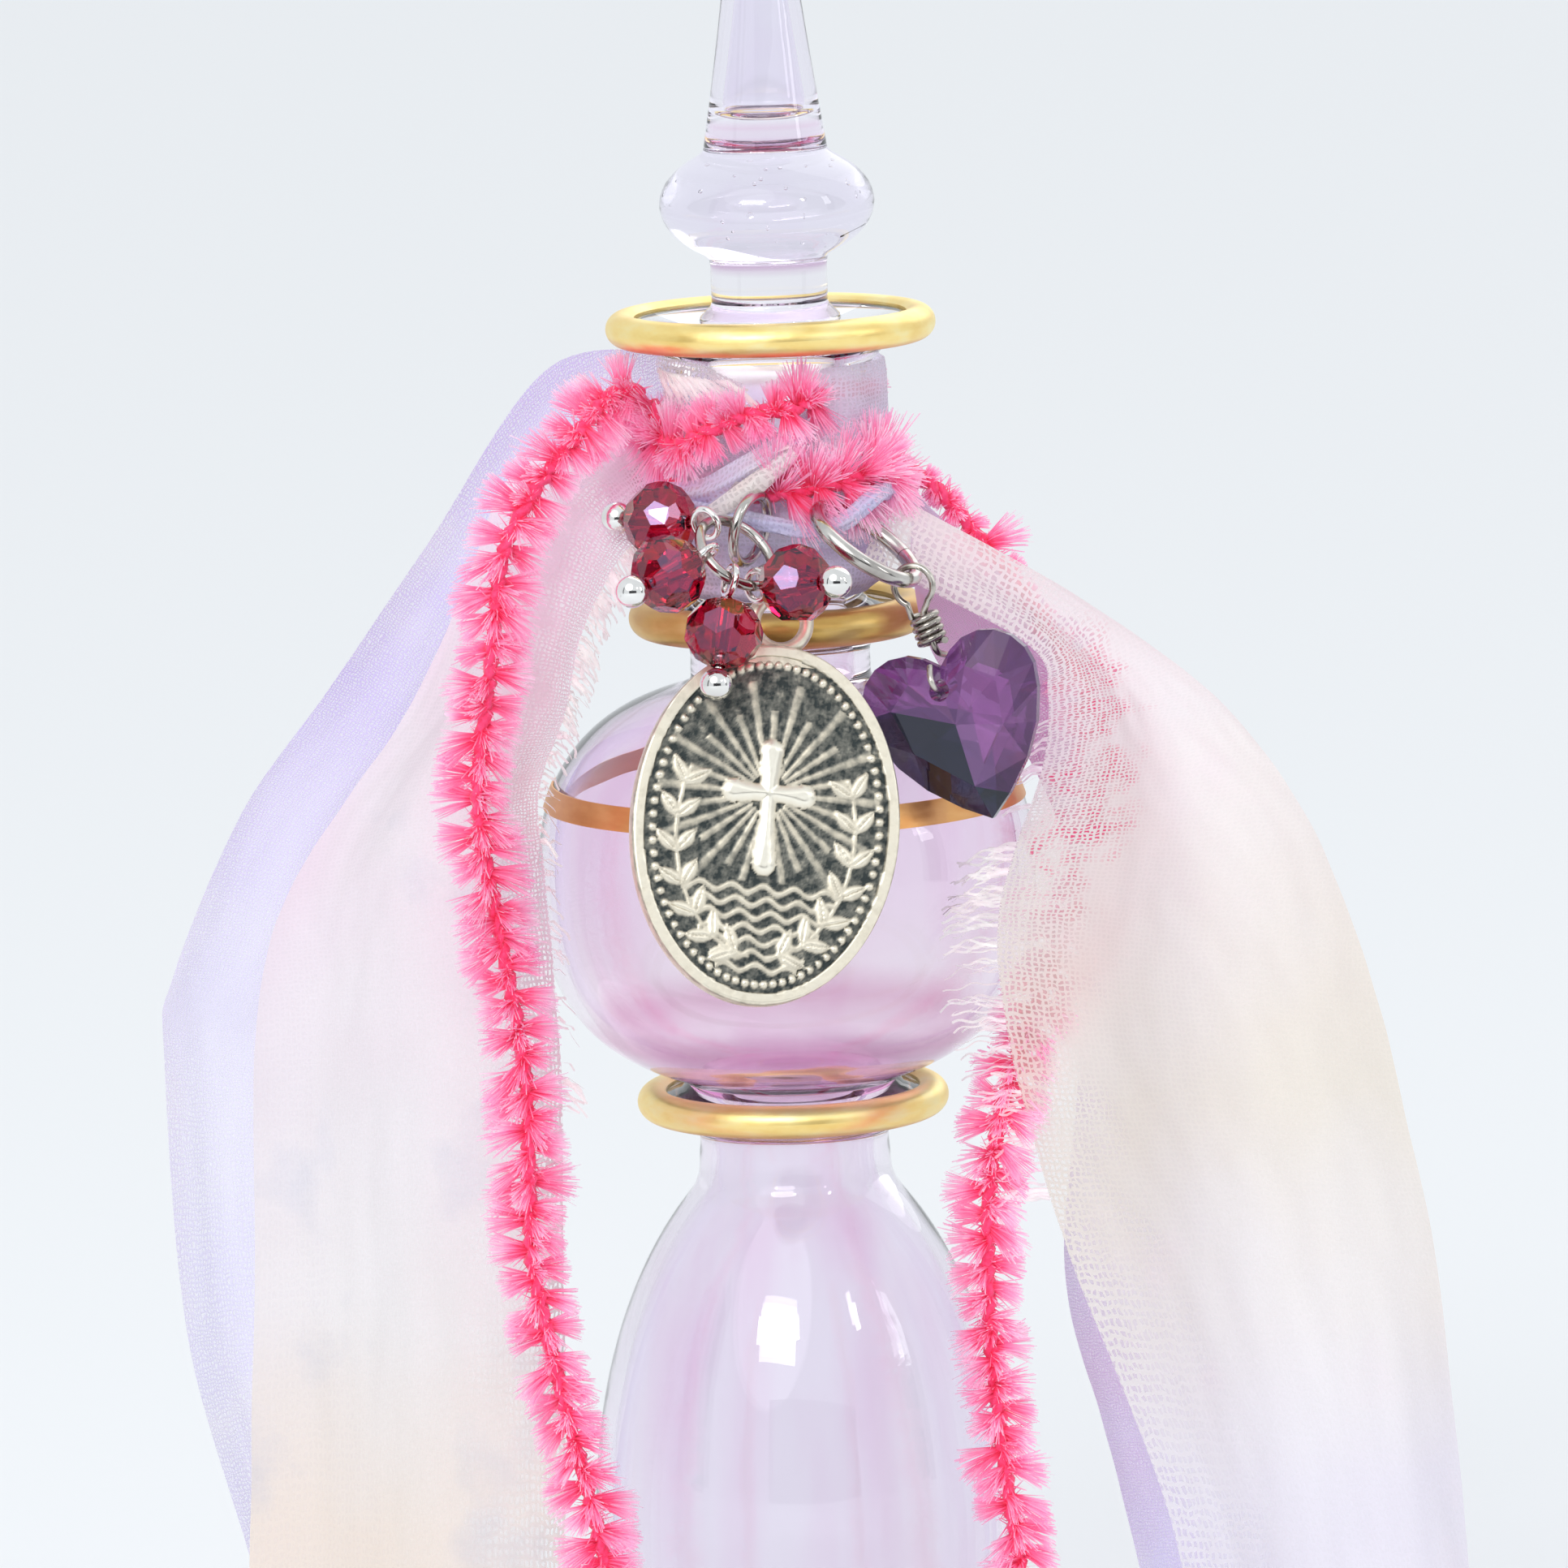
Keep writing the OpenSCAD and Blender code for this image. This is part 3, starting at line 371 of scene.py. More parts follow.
def makeCamera():
    eye, aim = vec(*view["place"]), vec(*view["target"])
    ahead = (aim - eye).normalized()
    level = ahead.cross(Vector((0, 0, 1))).normalized()
    rise = level.cross(ahead)
    roll = math.radians(view["roll"])
    right = level * math.cos(roll) - rise * math.sin(roll)
    camera = bpy.data.objects.new("camera", bpy.data.cameras.new("camera"))
    bpy.context.scene.collection.objects.link(camera)
    camera.data.lens = view["lens"]
    camera.data.sensor_width = view["sensor"]
    camera.data.clip_start = view["near"] * mm
    camera.matrix_world = standing(right, right.cross(ahead), -ahead, eye)
    bpy.context.scene.camera = camera


studio = dict(
    paper=(0.82, 0.855, 0.89), card=(0.03, 0.03, 0.035), worldLight=0.75, floorR=6,
    suns={  # where each comes from, strength, degrees of softness
        "keySun": ((-0.35, -0.85, 0.75), 0.5, 50),
        "backSun": ((0.35, 0.75, 0.7), 0.6, 60),
    },
    windows={  # bright panes for the glints: place and size in mm, watts
        "frontPane": ((-260, -900, 600), (420, 260), 2.2),
        "leftPane": ((-480, -860, 620), (60, 130), 0.4),
        "middlePane": ((-40, -980, 640), (40, 90), 0.25),
        "rightPane": ((640, -720, 620), (60, 130), 0.4),
        "sidePane": ((820, -300, 420), (120, 300), 0.5),
    },
    flags={  # dark cards that only gloss and glass see: place and size in mm, turn about Z
        "leftFlag": ((-900, -500, 260), (260, 900), 60),
        "rightFlag": ((950, -300, 260), (220, 900), -70),
        "roomFlag": ((250, -1500, 200), (1500, 560), -8),
    })


def hangLight(name, kind, place, target, power):
    light = bpy.data.objects.new(name, bpy.data.lights.new(name, kind))
    light.data.energy = power
    light.location = place
    light.rotation_euler = (target - light.location).to_track_quat("-Z", "Y").to_euler()
    bpy.context.scene.collection.objects.link(light)
    return light.data


def makeStudio():
    scene = bpy.context.scene
    scene.view_settings.view_transform = "Standard"
    scene.world = bpy.data.worlds.new("studioWorld")
    scene.world.use_nodes = True
    tree = scene.world.node_tree
    tree.nodes.clear()
    rays = put(tree, "ShaderNodeLightPath").outputs
    seen = mathNode(tree, "MAXIMUM", rays["Is Camera Ray"], rays["Is Glossy Ray"])
    seen = mathNode(tree, "MAXIMUM", seen, rays["Is Transmission Ray"])
    lit, shown = put(tree, "ShaderNodeBackground"), put(tree, "ShaderNodeBackground")
    give(tree, lit, {"Color": grey(1), "Strength": studio["worldLight"]})
    give(tree, shown, {"Color": studio["paper"]})
    sky = mixShader(tree, seen, lit.outputs[0], shown.outputs[0])
    tree.links.new(sky, put(tree, "ShaderNodeOutputWorld").inputs[0])

    for name, (place, strength, soft) in studio["suns"].items():
        hangLight(name, "SUN", place, Vector(), strength).angle = math.radians(soft)
    for name, (place, (wide, high), watts) in studio["windows"].items():
        pane = hangLight(name, "AREA", vec(*place), vec(*view["target"]), watts)
        pane.shape = "RECTANGLE"
        pane.size, pane.size_y = wide * mm, high * mm

    deselect()
    bpy.ops.mesh.primitive_circle_add(vertices=64, radius=studio["floorR"], fill_type="NGON")
    floor = named("paperFloor")
    paper, tree, bsdf = newMaterial("palePaper")
    give(tree, bsdf, {"Base Color": studio["paper"], "Roughness": 0.9, "Specular IOR Level": 0.1})
    floor.data.materials.append(paper)

    dark, tree, bsdf = newMaterial("darkCard")
    give(tree, bsdf, {"Base Color": studio["card"], "Roughness": 1})
    for name, (place, (wide, high), turn) in studio["flags"].items():
        deselect()
        bpy.ops.mesh.primitive_plane_add(size=1)
        card = named(name)
        upright = turned(90, "X") @ Matrix.Diagonal((wide * mm, high * mm, 1, 1))
        card.data.transform(Matrix.Translation(vec(*place)) @ turned(turn, "Z") @ upright)
        card.data.materials.append(dark)
        card.visible_camera = False
        card.visible_diffuse = False
        card.visible_shadow = False
        card.visible_transmission = name != "roomFlag"  # only gloss sees the room


makeCamera()
makeStudio()
print("camera and studio made")


# eyelash yarn: twisted core and tufts
yarn = dict(
    ply=0.42, plyOff=0.3, twist=2.6, cordWide=1.6, pairStep=2.3, pairShift=0.22, jitter=0.16,
    hairs=84, hairLong=3.2, hairWide=0.07, hairTip=0.0385, hairFan=0.4, swings=(-0.45, 0.85),
    facing=(0.85, 1.5), facingLong=0.8, facingHairs=0.6, lean=(-0.15, 0.5), reach=(0.8, 1.14),
    fuzz=40, fuzzLong=(0.5, 1.25), fuzzWide=0.07, fuzzTip=0.04, fuzzOff=0.45,
    left=[(-10.2, -3.6, 121.6), (-12.6, -5.6, 121.4), (-15, -9.5, 119), (-18.5, -12.5, 115),
          (-21, -13.5, 110), (-22, -13, 103), (-23, -12.5, 96.5), (-23.5, -12.5, 91), (-23, -12.5, 86),
          (-22, -13, 80), (-21, -14, 74), (-20.5, -14, 68.5), (-20.5, -14, 62), (-20.5, -14, 55.5),
          (-19.5, -14.5, 50), (-18.5, -15, 45), (-17, -15, 38.5), (-15.5, -15, 31), (-14.5, -15.5, 22),
          (-14, -16, 12)],
    right=[(8.6, -4.2, 115), (9.6, -2.6, 114.7), (11.2, -1, 114), (13.6, 0, 111.6), (16.8, 0.6, 107.4),
           (20.6, 1, 102.2), (24.2, 0.6, 95.5), (25.5, -0.5, 89.5), (24, -4, 83.5), (21, -9, 78),
           (18.5, -12.5, 73), (16.5, -14.5, 68), (15.2, -15.5, 63), (14.6, -15.5, 56.5), (14.6, -15.5, 50),
           (15, -15.5, 44), (15.6, -15.5, 37.5), (16.5, -15.5, 30), (17, -15.5, 22), (17.2, -15.5, 14)],
    winding=[(-75, 9.7, 120.6), (-62, 9.9, 118.2), (-48, 10, 117.6), (-34, 9.9, 118.5), (-20, 9.7, 119.7),
             (-4, 9.6, 120.3), (10, 9.4, 120.6), (20, 8.9, 121), (34, 7.8, 121.4), (60, 7.75, 121.2),
             (100, 7.8, 120.8), (130, 8.9, 120), (180, 9.55, 118.4), (240, 9.4, 116.4), (280, 9.2, 114.9),
             (320, 9.4, 114), (345, 9.9, 113.9), (375, 10, 114.3), (405, 9.8, 114.9), (424, 9.57, 115)],
    windHair=4.2, windHairs=120, windFan=0.46, windSwings=(-0.1, 1),
    windHidden=((22, 102), (270, 353)))  # where the gauze lies over the winding


def yarnMaterials():
    core, tree, bsdf = newMaterial("yarnCore")
    fibre = noiseNode(tree, objectCoords(tree), 2500, 4)
    crimson = ramp(tree, fibre, [(0.3, (0.86, 0.03, 0.14)), (0.7, (1, 0.09, 0.26))])
    give(tree, bsdf, {"Base Color": crimson, "Roughness": 0.7, "Sheen Weight": 0.3})
    bump(tree, bsdf, fibre, 0.5, 0.2)
    tuft, tree, bsdf = newMaterial("yarnTuft")
    tip = attribute(tree, "tip")
    patch = noiseNode(tree, objectCoords(tree), 420, 2)
    dark = ramp(tree, tip, [(0, (0.92, 0.045, 0.18)), (0.3, (1, 0.19, 0.43)), (1, (1, 0.55, 0.78))])
    pale = ramp(tree, tip, [(0, (1, 0.08, 0.28)), (0.3, (1, 0.42, 0.68)), (1, (1, 0.84, 0.95))])
    colour = mixColour(tree, mapRange(tree, patch, 0.35, 0.65), dark, pale)
    give(tree, bsdf, {"Base Color": colour, "Roughness": 0.42, "Sheen Weight": 0.2})
    lampLight(tree, thinGlow(tree, bsdf, colour, 0.5), (0.82, 0.6, 0.7))
    return core, tuft


def twistedCore(name, path):  # two plies wound round each other
    frames = pathFrames(path)
    turns = [0.0]
    for a, b in zip(path, path[1:]):
        turns.append(turns[-1] + 2 * math.pi * (b - a).length / (yarn["twist"] * mm))
    plies = []
    for k in (0, 1):
        ply = []
        for place, (ahead, side, other), turn in zip(path, frames, turns):
            angle = turn + math.pi * k
            ply.append(place + (side * math.cos(angle) + other * math.sin(angle)) * yarn["plyOff"] * mm)
        plies.append(wireAlong(name + str(k), ply, yarn["ply"] * mm, 1))
    join(*plies)
    core = named(name)
    smooth(core, 60)
    return core


def tufts(name, path, seed, acrossAt, outwardAt, hairs, hairLong, fanWide, swings,
          bare=lambda i: False, trim=lambda root: 1):
    chance = random.Random(seed)
    length = pathLength(path)
    strands = []
    count = int(length / (yarn["pairStep"] * mm))
    marks = [0.0]
    for a, b in zip(path, path[1:]):
        marks.append(marks[-1] + (b - a).length)

    def station(pair):
        spot = pair * length / count
        i = max(k for k in range(len(path) - 1) if marks[k] <= spot)
        return i, path[i].lerp(path[i + 1], (spot - marks[i]) / max(1e-9, marks[i + 1] - marks[i]))

    for pair in range(count):
        for sign, facing in ((-1, 0), (1, 0), (chance.choice((-1, 1)), 1)):  # the third faces outwards
            shift = 0.5 + (0 if facing else yarn["pairShift"] * sign)
            i, root = station(pair + shift + chance.uniform(-yarn["jitter"], yarn["jitter"]))
            if bare(i):
                continue
            ahead = (path[i + 1] - path[i]).normalized()
            swing = chance.uniform(*(yarn["facing"] if facing else swings))
            across = acrossAt(root, ahead) * sign * math.cos(swing) + outwardAt(root) * math.sin(swing)
            out = ahead.cross(across).normalized()
            lean = chance.uniform(*yarn["lean"])  # tufts droop along the yarn
            reach = chance.uniform(*yarn["reach"]) * trim(root) * (yarn["facingLong"] if facing else 1)
            for _ in range(int(hairs * (yarn["facingHairs"] if facing else 1))):
                fan = chance.uniform(-1, 1)
                aim = (across + ahead * (lean + fan * fanWide) + out * chance.gauss(0, 0.24)).normalized()
                start = root + (ahead * fan * 0.34 + across * 0.2 + out * chance.uniform(-0.3, 0.3)) * mm
                blunt = 1.04 - 0.12 * fan * fan  # the tuft is cut nearly square
                long = hairLong * reach * blunt * chance.uniform(0.84, 1.04) * mm
                droop = (ahead * chance.gauss(0.1, 0.12) + out * chance.gauss(0, 0.1)) * long
                points = [start, start + aim * long * 0.5 + droop * 0.2, start + aim * long + droop * 0.6]
                strands.append((points, yarn["hairWide"] * mm, yarn["hairTip"] * mm))
        for _ in range(yarn["fuzz"]):  # short fibres hide the twisted core
            i, root = station(pair + chance.random())
            if bare(i):
                continue
            ahead = (path[i + 1] - path[i]).normalized()
            side = ahead.orthogonal().normalized()
            angle = chance.uniform(0, 2 * math.pi)
            aim = side * math.cos(angle) + ahead.cross(side) * math.sin(angle)
            aim += ahead * chance.gauss(0.2, 0.5)
            start = root + aim * yarn["fuzzOff"] * mm
            long = chance.uniform(*yarn["fuzzLong"]) * mm
            points = [start, start + aim * long * 0.5, start + aim * long]
            strands.append((points, yarn["fuzzWide"] * mm, yarn["fuzzTip"] * mm))
    return flatFibres(name, strands)


def makeYarn():
    coreMaterial, tuftMaterial = yarnMaterials()

    def inPicture(place, ahead):  # tails fan out to the left and right of the view
        return ahead.cross(Vector((0, -1, 0))).normalized()

    def upAndDown(place, ahead):  # the winding's tufts stand up and hang down along the neck
        return ahead.cross(fromAxis(place)).normalized()

    def toFront(place):
        return Vector((0, -1, 0))

    def fromAxis(place):
        return Vector((place.x, place.y, 0)).normalized()

    def free(root):
        return 1

    def underCloth(root):  # pressed flat where the right tail lies over it, but for one tuft
        x, z = root.x / mm, root.z / mm
        return 0.4 if z > 99 and x > 10 and not 15 < x < 16.8 else 1

    for seed, (side, trim) in enumerate({"left": free, "right": underCloth}.items(), 11):
        path = smoothPath([vec(*p) for p in yarn[side]], 8)
        core = twistedCore(side + "YarnCore", path)
        settle(core, coreMaterial, "bottle", "yarn", "yarn_" + side + "_tail")
        pile = tufts(side + "YarnTufts", path, seed, inPicture, toFront, yarn["hairs"], yarn["hairLong"],
                     yarn["hairFan"], yarn["swings"], trim=trim)
        settle(pile, tuftMaterial, "bottle", "yarn")
        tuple(path[0])
        pathLength(path)
    stations = smoothPath([Vector(p) for p in yarn["winding"]], 12)
    winding = [roundNeck(*p) for p in stations]
    core = twistedCore("neckYarnCore", winding)
    settle(core, coreMaterial, "bottle", "yarn", "yarn_neck_winding")

    def underGauze(i):
        return any(low < stations[i].x < high for low, high in yarn["windHidden"])

    def overGauze(root):  # short where the gauze shows below the upper turn, and at the neck's right side
        x, z = root.x / mm, root.z / mm
        if root.y > 0 and x > 4.5:
            return 0.4
        return 1.08 if z < 117 else 0.62 if -6.2 < x < 0.5 else 0.84

    pile = tufts("neckYarnTufts", winding, 17, upAndDown, fromAxis, yarn["windHairs"], yarn["windHair"],
                 yarn["windFan"], yarn["windSwings"], underGauze, overGauze)
    settle(pile, tuftMaterial, "bottle", "yarn")


makeYarn()
print("yarn made")


# blown glass: one wall from the foot to the mouth
glass = dict(
    footR=14, footFaceR=9, footTube=1.2, footLift=0.4, footH=8, stemR=5, bodyR=16.6, bodyLowH=22,
    bodyUpH=35.2, bodyLowPast=2, bodyUpTuck=3.2, waistR=7.4, floorT=3, wall=1.3, collarR=12.2,
    collarTube=1.3, throatLowR=8.2, bulbR=19.4, bulbLowH=17.3, bulbUpH=20.9, bulbLowTuck=1.1,
    bulbUpTuck=4.7, bulbSquare=2.5, throatR=7, ringR=11.7, ringTube=1.45, neckH=22.6, neckR=6.5,
    mouthR=12.8, mouthTube=1.3, discT=1.4, gildSeat=0.33, blend=0.9, flareH=3.4, mouthFlareH=11,
    boreTopR=4.85, boreLowR=4.45, plugH=13, dishDrop=1.5, wander=0.09, steps=128)
bodyZ = glass["footH"] + glass["bodyLowH"]
collarZ = bodyZ + glass["bodyUpH"]
bulbZ = collarZ + glass["bulbLowH"]
ringZ = bulbZ + glass["bulbUpH"]
mouthZ = ringZ + glass["neckH"]
floorZ = glass["footH"] + glass["floorT"]
footBeadZ = glass["footTube"] + glass["footLift"]
plugTop = mouthZ - glass["dishDrop"]
plugLow = plugTop - glass["plugH"]


def softMax(a, b, k):
    return (a + b + math.sqrt((a - b) ** 2 + k * k)) / 2


def edgeR(outer, tube):
    return outer - 2 * tube + glass["gildSeat"]


def bodyCurve(z):
    if z < bodyZ:
        reach = glass["bodyLowH"] + glass["bodyLowPast"]
    else:
        reach = glass["bodyUpH"] - glass["bodyUpTuck"]
    return glass["bodyR"] * math.sqrt(max(0, 1 - ((z - bodyZ) / reach) ** 2))


def bulbCurve(z):
    if z < bulbZ:
        reach = glass["bulbLowH"] - glass["bulbLowTuck"]
    else:
        reach = glass["bulbUpH"] - glass["bulbUpTuck"]
    square = glass["bulbSquare"]
    return glass["bulbR"] * max(0, 1 - abs((z - bulbZ) / reach) ** square) ** (1 / square)


def neckCurve(z):
    flare = max(0, 1 - (mouthZ - glass["discT"] / 2 - z) / glass["mouthFlareH"]) ** 5
    return glass["neckR"] + (edgeR(glass["mouthR"], glass["mouthTube"]) - glass["neckR"]) * flare


def glassR(z):
    if z < bodyZ:
        return softMax(bodyCurve(z), glass["stemR"], glass["blend"])
    if z < collarZ:
        return softMax(bodyCurve(z), glass["waistR"], glass["blend"])
    if z < bulbZ:
        return softMax(bulbCurve(z), glass["throatLowR"], glass["blend"])
    if z < ringZ:
        return softMax(bulbCurve(z), glass["throatR"], glass["blend"])
    return neckCurve(z)


def spread(a, b, count):
    return [a + (b - a) * i / count for i in range(count + 1)]


def discRim(r0, outer, tube, z):  # a disc flares out of its throat and ends in its gilded bead
    half, rise = glass["discT"] / 2, glass["flareH"]
    edge = edgeR(outer, tube)
    flare = [(r0 + (edge - r0) * t ** 3, z - rise + (rise - half) * t) for t in spread(0, 1, 10)]
    return flare + [(edge, z + half)]


def aboveDisc(r, z):  # the wall rises from a disc in a small fillet
    top = z + glass["discT"] / 2
    return [(r + 1.4, top + 0.02), (r + 0.5, top + 0.4)]


def bottleChain():
    half, wall, stemR, footFaceR = glass["discT"] / 2, glass["wall"], glass["stemR"], glass["footFaceR"]
    footEdge, footTop = edgeR(glass["footR"], glass["footTube"]), footBeadZ + half
    mouthEdge, boreTopR = edgeR(glass["mouthR"], glass["mouthTube"]), glass["boreTopR"]
    chain = [(0, 0), (footFaceR - 0.4, 0), (footFaceR, 0.05), (footEdge, footBeadZ - half),
             (footEdge, footTop)]
    chain += [(stemR + (footEdge - stemR) * (1 - t) ** 2.4, footTop + (glass["footH"] - footTop) * t)
              for t in spread(0.1, 0.9, 8)]
    chain += [(glassR(z), z) for z in spread(glass["footH"], collarZ - glass["flareH"] - 0.6, 60)]
    chain += discRim(glass["waistR"], glass["collarR"], glass["collarTube"], collarZ)
    chain += aboveDisc(glass["throatLowR"], collarZ)
    chain += [(glassR(z), z) for z in spread(collarZ + half + 0.9, ringZ - glass["flareH"] - 0.4, 80)]
    chain += discRim(glass["throatR"], glass["ringR"], glass["ringTube"], ringZ)
    chain += aboveDisc(glass["neckR"], ringZ)
    chain += [(glassR(z), z) for z in spread(ringZ + half + 1, mouthZ - half, 30)]
    chain += [(mouthEdge, mouthZ + half - 0.2), (mouthEdge - 0.2, mouthZ + half),
              (boreTopR + 2.6, mouthZ + 0.1), (boreTopR + 1, mouthZ - 0.5), (boreTopR, plugTop),
              (glass["boreLowR"], plugLow), (glass["neckR"] - wall, plugLow - 1)]
    chain += [((glassR(z) if z < ringZ else glass["neckR"]) - wall, z)
              for z in spread(ringZ, collarZ + 0.2, 80)]
    chain += [(glassR(z) - wall, z) for z in spread(collarZ - 0.2, floorZ + 0.3, 60)]
    inner = chain[-1][0]
    return chain + [(inner * 0.82, floorZ + 0.06), (inner * 0.5, floorZ), (0, floorZ)]


tintTop = 180  # mm, the top of the ramp of tints


def glassMaterial(name, stops, streak, stretch, share, ground=None):
    material, tree, bsdf = newMaterial(name)
    coords = objectCoords(tree)
    height = heightOf(tree, coords)
    tint = ramp(tree, mapRange(tree, height, 0, tintTop * mm), [(z / tintTop, colour) for z, colour in stops])
    mask = mapRange(tree, noiseNode(tree, coords, 150, 3, stretch), 0.5, 0.72, 0, share)
    rough = 0.01
    if ground:  # the plug is ground to fit its bore
        low = mathNode(tree, "GREATER_THAN", height, ground[0] * mm)
        high = mathNode(tree, "LESS_THAN", height, ground[1] * mm)
        rough = mapRange(tree, mathNode(tree, "MULTIPLY", low, high), 0, 1, rough, 0.35)
    give(tree, bsdf, {"Base Color": mixColour(tree, mask, tint, streak, "MULTIPLY"), "Roughness": rough,
                      "Transmission Weight": 1, "IOR": 1.47})
    bump(tree, bsdf, noiseNode(tree, coords, 90, 2), 0.06, 0.8)
    lampLight(tree, bsdf.outputs[0], (0.97, 0.945, 0.98))
    return material


bottleTint = [  # height, colour
    (0, (0.96, 0.94, 0.98)), (12, (0.95, 0.92, 0.97)), (45, (0.93, 0.885, 0.955)),
    (61, (0.935, 0.887, 0.953)), (65.5, (0.94, 0.84, 0.92)), (67.4, (0.68, 0.38, 0.6)),
    (69, (0.92, 0.78, 0.88)), (71, (0.8, 0.54, 0.68)), (73, (0.955, 0.89, 0.935)),
    (84, (0.945, 0.85, 0.94)), (97, (0.935, 0.83, 0.935)), (106, (0.98, 0.97, 0.99)),
    (127, (0.985, 0.98, 0.99))]


def makeBottle():
    bottle = spinChain("bottleGlass", bottleChain(), glass["steps"])
    for vertex in bottle.data.vertices:  # blown by hand, so the walls wander a little
        z = vertex.co.z / mm
        if 12 < z < 62 or 70 < z < 97:
            wander = noise.noise(vertex.co * 55) * glass["wander"] * mm
            vertex.co += Vector((vertex.co.x, vertex.co.y, 0)).normalized() * wander
    smooth(bottle, 50)
    material = glassMaterial("lavenderGlass", bottleTint, (0.95, 0.8, 0.9), (1, 1, 0.12), 0.8)
    settle(bottle, material, "bottle", "tinted_glass", "bottle_glass")


makeBottle()
print("bottle made")


# stopper: dabber, ground plug, ball and hollow spire
stopper = dict(
    plugFit=0.05, rodR=1.5, rodH=7, seatR=5.5, shankR=4.5, shankLift=1.8, shankH=5.5, ballSink=2.6, ballR=8.3,
    ballHalfH=4.8, spireR=4.7, tipR=1, spireH=42.5, spireWall=1, blend=0.6, seeds=46, seedR=0.14, steps=96)
shankZ = mouthZ + stopper["shankLift"]
ballZ = shankZ + stopper["shankH"] + stopper["ballHalfH"] - stopper["ballSink"]
spireTop = ballZ + stopper["spireH"]
spireBase = ballZ + stopper["ballHalfH"]


def spireCurve(z):
    share = max(0, (spireTop - z) / (spireTop - spireBase))
    return stopper["tipR"] + (stopper["spireR"] - stopper["tipR"]) * share ** 1.7


def stopperR(z):
    ball = stopper["ballR"] * math.sqrt(max(0, 1 - ((z - ballZ) / stopper["ballHalfH"]) ** 2))
    stem = stopper["shankR"] if z < ballZ else min(stopper["spireR"], spireCurve(z))
    return softMax(ball, stem, stopper["blend"])


def stopperChain():
    plugTopR = glass["boreTopR"] - stopper["plugFit"]
    plugLowR = glass["boreLowR"] - stopper["plugFit"]
    rodR, tipR = stopper["rodR"], stopper["tipR"]
    rodTip = plugLow - stopper["rodH"]
    chain = [(0, rodTip), (rodR * 0.45, rodTip + 0.12), (rodR * 0.8, rodTip + 0.5), (rodR, rodTip + 1.3),
             (rodR, plugLow - 1), (plugLowR - 0.4, plugLow), (plugLowR, plugLow + 0.5), (plugTopR, plugTop),
             (stopper["seatR"], mouthZ + 0.5), (stopper["seatR"] - 0.1, mouthZ + 0.8),
             (stopper["seatR"] - 0.5, mouthZ + 1.2), (stopper["shankR"] + 0.1, shankZ - 0.2)]
    chain += [(stopperR(z), z) for z in spread(shankZ + 0.1, spireBase, 60)]
    chain += [(stopperR(z), z) for z in spread(spireBase + 0.4, spireTop - tipR, 40)]
    return chain + [(tipR * 0.92, spireTop - tipR * 0.6), (tipR * 0.7, spireTop - tipR * 0.3),
                    (tipR * 0.38, spireTop - tipR * 0.07), (0, spireTop)]


def cavityChain():
    low, top = spireBase + 1.6, spireTop - 6
    chain = [(0, low), (2.2, low + 0.12), (3, low + 0.45)]
    chain += [(max(0.3, spireCurve(z) - stopper["spireWall"]), z) for z in spread(low + 0.9, top, 30)]
    return chain + [(0, top + 0.5)]


def makeStopper():
    solid = spinChain("stopperGlass", stopperChain(), stopper["steps"])
    hollow = spinChain("spireHollow", cavityChain(), stopper["steps"])
    editMode()
    bpy.ops.mesh.select_all(action="SELECT")
    bpy.ops.mesh.flip_normals()
    objectMode()
    join(solid, hollow)
    smooth(solid, 50)
    pale, white = (0.9, 0.86, 0.965), (0.95, 0.925, 0.99)
    tint = [(0, (0.98, 0.97, 0.99)), (mouthZ, (0.985, 0.98, 0.99)), (ballZ - 5.4, (0.97, 0.95, 0.985)),
            (ballZ - 4.9, (0.62, 0.34, 0.58)), (ballZ - 4.3, pale), (ballZ + 4.4, pale),
            (ballZ + 5, (0.8, 0.5, 0.72)), (ballZ + 5.7, white), (tintTop, white)]
    material = glassMaterial("paleVioletGlass", tint, (0.94, 0.87, 0.96), (1, 1, 0.5), 0.7,
                             (plugLow, plugTop))
    settle(solid, material, "stopper", "clear_glass", "stopper")


def makeSeeds():  # small bubbles of air in the ball
    chance = random.Random(5)
    deselect()
    bpy.ops.mesh.primitive_ico_sphere_add(subdivisions=1, radius=stopper["seedR"] * mm)
    seed = named("stopperSeeds")
    ball = seed.data.copy()
    seed.data.transform(Matrix.Translation(vec(0, -5.2, ballZ - 1)))
    copies = []
    for _ in range(stopper["seeds"]):
        angle, z = chance.uniform(0, 2 * math.pi), chance.uniform(-3, 2.6)
        reach = stopperR(ballZ + z) * math.sqrt(chance.uniform(0.15, 0.8))
        wide, tall = chance.uniform(0.5, 1.5), chance.uniform(0.5, 1.2)
        copy = addMesh("seedCopy", ball.copy())
        place = Matrix.Translation(vec(reach * math.cos(angle), reach * math.sin(angle), ballZ + z))
        copy.data.transform(place @ Matrix.Diagonal((wide, wide, tall, 1)))
        copies.append(copy)
    join(seed, *copies)
    smooth(seed, 80)
    air, tree, bsdf = newMaterial("airSeeds")
    tone = ramp(tree, noiseNode(tree, objectCoords(tree), 900), [(0.3, grey(0.93)), (0.7, grey(1))])
    give(tree, bsdf, {"Base Color": tone, "Transmission Weight": 1, "IOR": 0.86, "Roughness": 0.02})
    settle(seed, air, "stopper", "clear_glass")


makeStopper()
makeSeeds()
print("stopper made")


